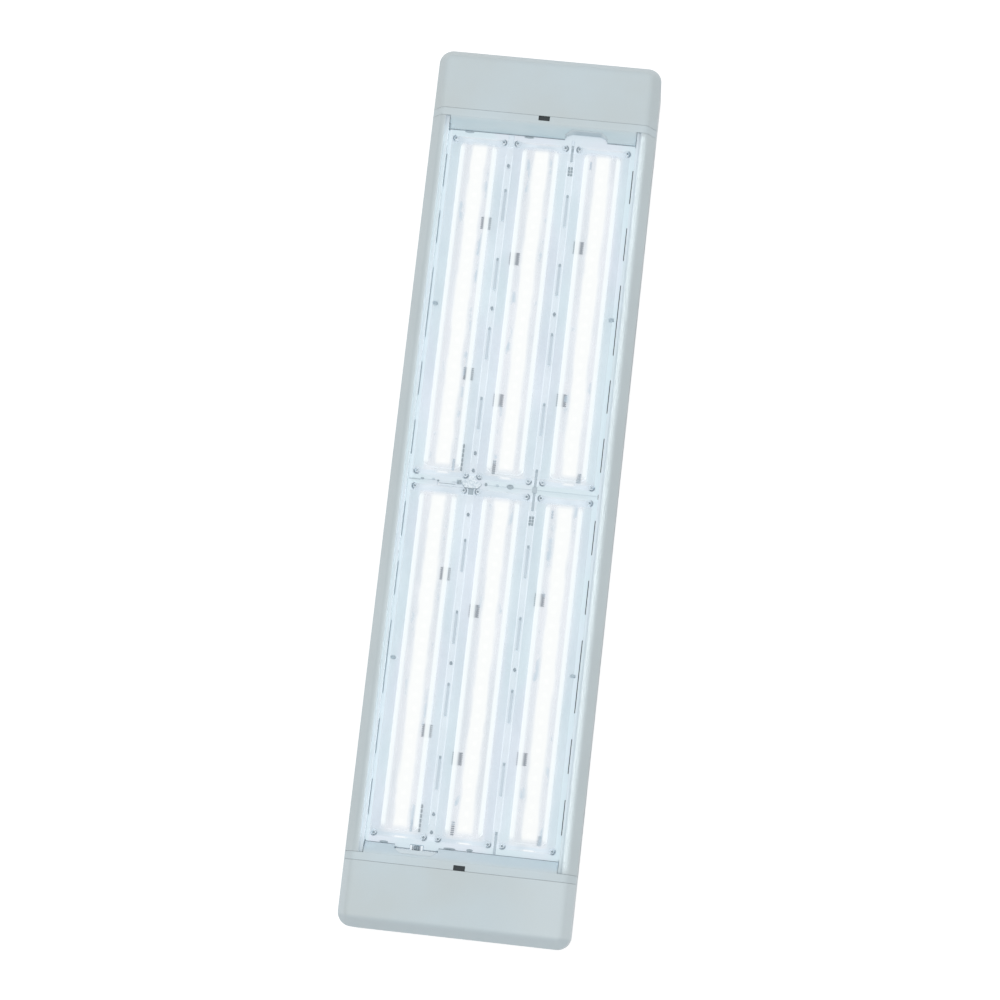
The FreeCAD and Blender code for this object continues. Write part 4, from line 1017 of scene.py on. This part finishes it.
def notch_liner():
    # Sloped liner in the notch of the upper lip
    form = Form()
    rings = []
    for (x0, y0), (x1, y1) in zip(both_halves(NOTCH_EDGE), both_halves(NOTCH_TOE)):
        x, y = x0 + (x1 - x0) * NOTCH_TREAD, y0 + (y1 - y0) * NOTCH_TREAD
        rings.append([(x1, y1, LENS_TOP), (x0, y0, LENS_TOP),
                      (x0, y0, lip_height(y0) - EDGE_SUNK), (x, y, lip_height(y) - TREAD_SUNK)])
    form.loft(*rings, look=notch_shade_paint())
    form.piece("notch_liner", "cover")


# Countersunk screws: radius and height of each point, from the recess up
PLATE_SCREW_X = 81.8
PLATE_SCREW_Y = (-255.0, -90.0, 90.0, 255.0)
PLATE_SCREW_RECESS = [(0, 0.9), (0.7, 0.8), (1.1, 0.1)]
PLATE_SCREW_BODY = [(1.25, 0.0), (2.7, 0.0), (2.85, 0.15), (1.5, 1.5), (1.5, 3.6), (0, 3.6)]


def plate_screw_set():
    # Countersunk screws of the back plate, with painted shade in their recesses
    form = Form()
    # The recess takes the dark grey as painted shade
    looks = [dark_and_shade_grey] * (len(PLATE_SCREW_RECESS) - 1) + [steel] * len(PLATE_SCREW_BODY)
    for side in SIDES:
        for y in PLATE_SCREW_Y:
            form.turned(side * PLATE_SCREW_X, y, PLATE_SCREW_RECESS + PLATE_SCREW_BODY, looks)
    form.piece("plate_screw_set", "screw", "plate_screws")


# Grommet: radius and height of each point, from the membrane's underside round the rim to its top
ENTRY_X = 42.0
GROMMET_SIDES = 48
GROMMET_UNDER = [(0, 0.25), (1.2, 0.3), (1.6, 0.9), (4.6, 0.9), (5.0, 0.5), (5.8, 0.5), (6.2, 0.9),
                 (7.9, 0.9), (8.3, 0.2), (8.7, 0.0), (9.7, 0.0), (9.95, 0.2)]
GROMMET_OVER = [(9.95, 1.6), (12.4, 1.6), (12.5, 1.9), (12.4, 3.4), (11.9, 3.8), (9.5, 3.8),
                (8.5, 3.2), (0, 3.0)]


def entry_grommet():
    # Closed rubber grommet of the cable entry, with a thin ringed membrane
    form = Form()
    form.button(ENTRY_X, TERMINAL_Y, GROMMET_UNDER + GROMMET_OVER, rubber, GROMMET_SIDES)
    form.piece("entry_grommet", "grommet", "cable_grommet")


lens_screw_sets()
board_chip_sets()
board_socket_sets()
lens_plugs()
lens_slot_liners()
lens_pad_cells()
joint_seal()
tongue_seal()
joint_clips()
cover_shadow_edge()
lens_edge_stops()
lens_edge_seals()
feed_contacts()
feed_lip()
lip_corner_pads()
notch_liner()
plate_screw_set()
entry_grommet()


# ---- Stage, in metres and watts ----

FLOOR_HALF = 12.0
FLOOR_DROP = 0.0005
FLOOR_GLOW = 0.74
WORLD_DIM = 0.86
WORLD_SEEN = 1.0


def seen_rays(tree):
    # 1 for the rays that show a surface in the picture: straight, in a gloss or through a clear part
    path = tree.nodes.new("ShaderNodeLightPath")
    seen = path.outputs["Is Camera Ray"]
    for ray in ("Is Glossy Ray", "Is Transmission Ray"):
        either = tree.nodes.new("ShaderNodeMath")
        either.operation = "MAXIMUM"
        tree.links.new(seen, either.inputs[0])
        tree.links.new(path.outputs[ray], either.inputs[1])
        seen = either.outputs[0]
    return seen


def lay_floor():
    # Floor: white where it is seen, with the shadow of the light
    h = FLOOR_HALF
    mesh = bpy.data.meshes.new("floor")
    mesh.from_pydata([(-h, -h, 0), (h, -h, 0), (h, h, 0), (-h, h, 0)], [], [(0, 1, 2, 3)])
    floor = bpy.data.objects.new("floor", mesh)
    floor.location.z = -FLOOR_DROP
    scene.collection.objects.link(floor)
    ground = Paint("floor_white")
    ground.set(Base_Color=(0.42, 0.42, 0.42, 1), Roughness=0.9)
    glow = ground.times(seen_rays(ground.tree), FLOOR_GLOW)
    ground.set(Emission_Color=(1, 1, 1, 1), Emission_Strength=glow)
    mesh.materials.append(ground.mat)


def light_world():
    # Soft light all round, white where it is seen
    world = bpy.data.worlds.new("studio")
    scene.world = world
    world.use_nodes = True
    tree = world.node_tree
    level = tree.nodes.new("ShaderNodeMapRange")
    level.inputs["To Min"].default_value = WORLD_DIM
    level.inputs["To Max"].default_value = WORLD_SEEN
    tree.links.new(seen_rays(tree), level.inputs["Value"])
    back = tree.nodes["Background"]
    back.inputs["Color"].default_value = (1, 1, 1, 1)
    tree.links.new(level.outputs[0], back.inputs["Strength"])


def softbox(name, place, aim, size, energy, spread=180.0, seen=True):
    # Flat lamp that faces a point, with its spread in degrees
    data = bpy.data.lights.new(name, "AREA")
    data.shape = "RECTANGLE"
    data.size, data.size_y = size
    data.energy = energy
    data.spread = math.radians(spread)
    lamp = bpy.data.objects.new(name, data)
    lamp.location = place
    lamp.rotation_mode = "QUATERNION"
    lamp.rotation_quaternion = (Vector(aim) - Vector(place)).to_track_quat("-Z", "Y")
    if not seen:
        lamp.visible_camera = False
        lamp.visible_glossy = False
        lamp.visible_transmission = False
    scene.collection.objects.link(lamp)


LIP_LAMP_Y = 0.2885
CREST_LAMP_X = 0.0808


def light_part():
    # Two large soft lamps, and strips for the light that the lit rows throw on the rails and lips
    softbox("key", (-0.6, 0.5, 1.9), (0, 0, 0.05), (1.8, 1.8), energy=4.0)
    softbox("fill", (0.1, -1.2, 0.9), (0, -0.33, 0.05), (1.6, 0.8), energy=0.9)
    for side, energy in ((-1, 0.019), (1, 0.016)):
        softbox("spill_%d" % side, (side * 0.060, 0, 0.066), (side * 0.0775, 0, 0.0592), (0.575, 0.010),
                energy, spread=70.0, seen=False)
        y = side * LIP_LAMP_Y
        softbox("lip_%d" % side, (0, y, 0.075), (0, y, 0.054), (0.145, 0.006),
                energy=0.0004, spread=60.0, seen=False)
    softbox("crest", (CREST_LAMP_X, 0, 0.0745), (CREST_LAMP_X, 0, 0.0595), (0.003, 0.585),
            energy=0.0025, spread=25.0, seen=False)


# Camera at the photograph's place. The focal length is in pixels of the picture,
# and the turn is an axis times its angle
PICTURE_WIDTH = 1000.0
FOCAL_LENGTH = 2773.956
SENSOR_WIDTH = 36.0
CAMERA_PLACE = (0.1392917, -0.3648450, 2.1973190)
CAMERA_TURN = Vector((0.1666732, 0.0559517, 0.1074892))


def place_camera():
    data = bpy.data.cameras.new("camera")
    data.sensor_width = SENSOR_WIDTH
    data.lens = FOCAL_LENGTH * SENSOR_WIDTH / PICTURE_WIDTH
    data.clip_start = 0.1
    data.clip_end = 50.0
    camera = bpy.data.objects.new("camera", data)
    turn = Matrix.Rotation(CAMERA_TURN.length, 4, CAMERA_TURN.normalized())
    camera.matrix_world = Matrix.Translation(CAMERA_PLACE) @ turn
    scene.collection.objects.link(camera)
    scene.camera = camera


lay_floor()
light_world()
light_part()
place_camera()
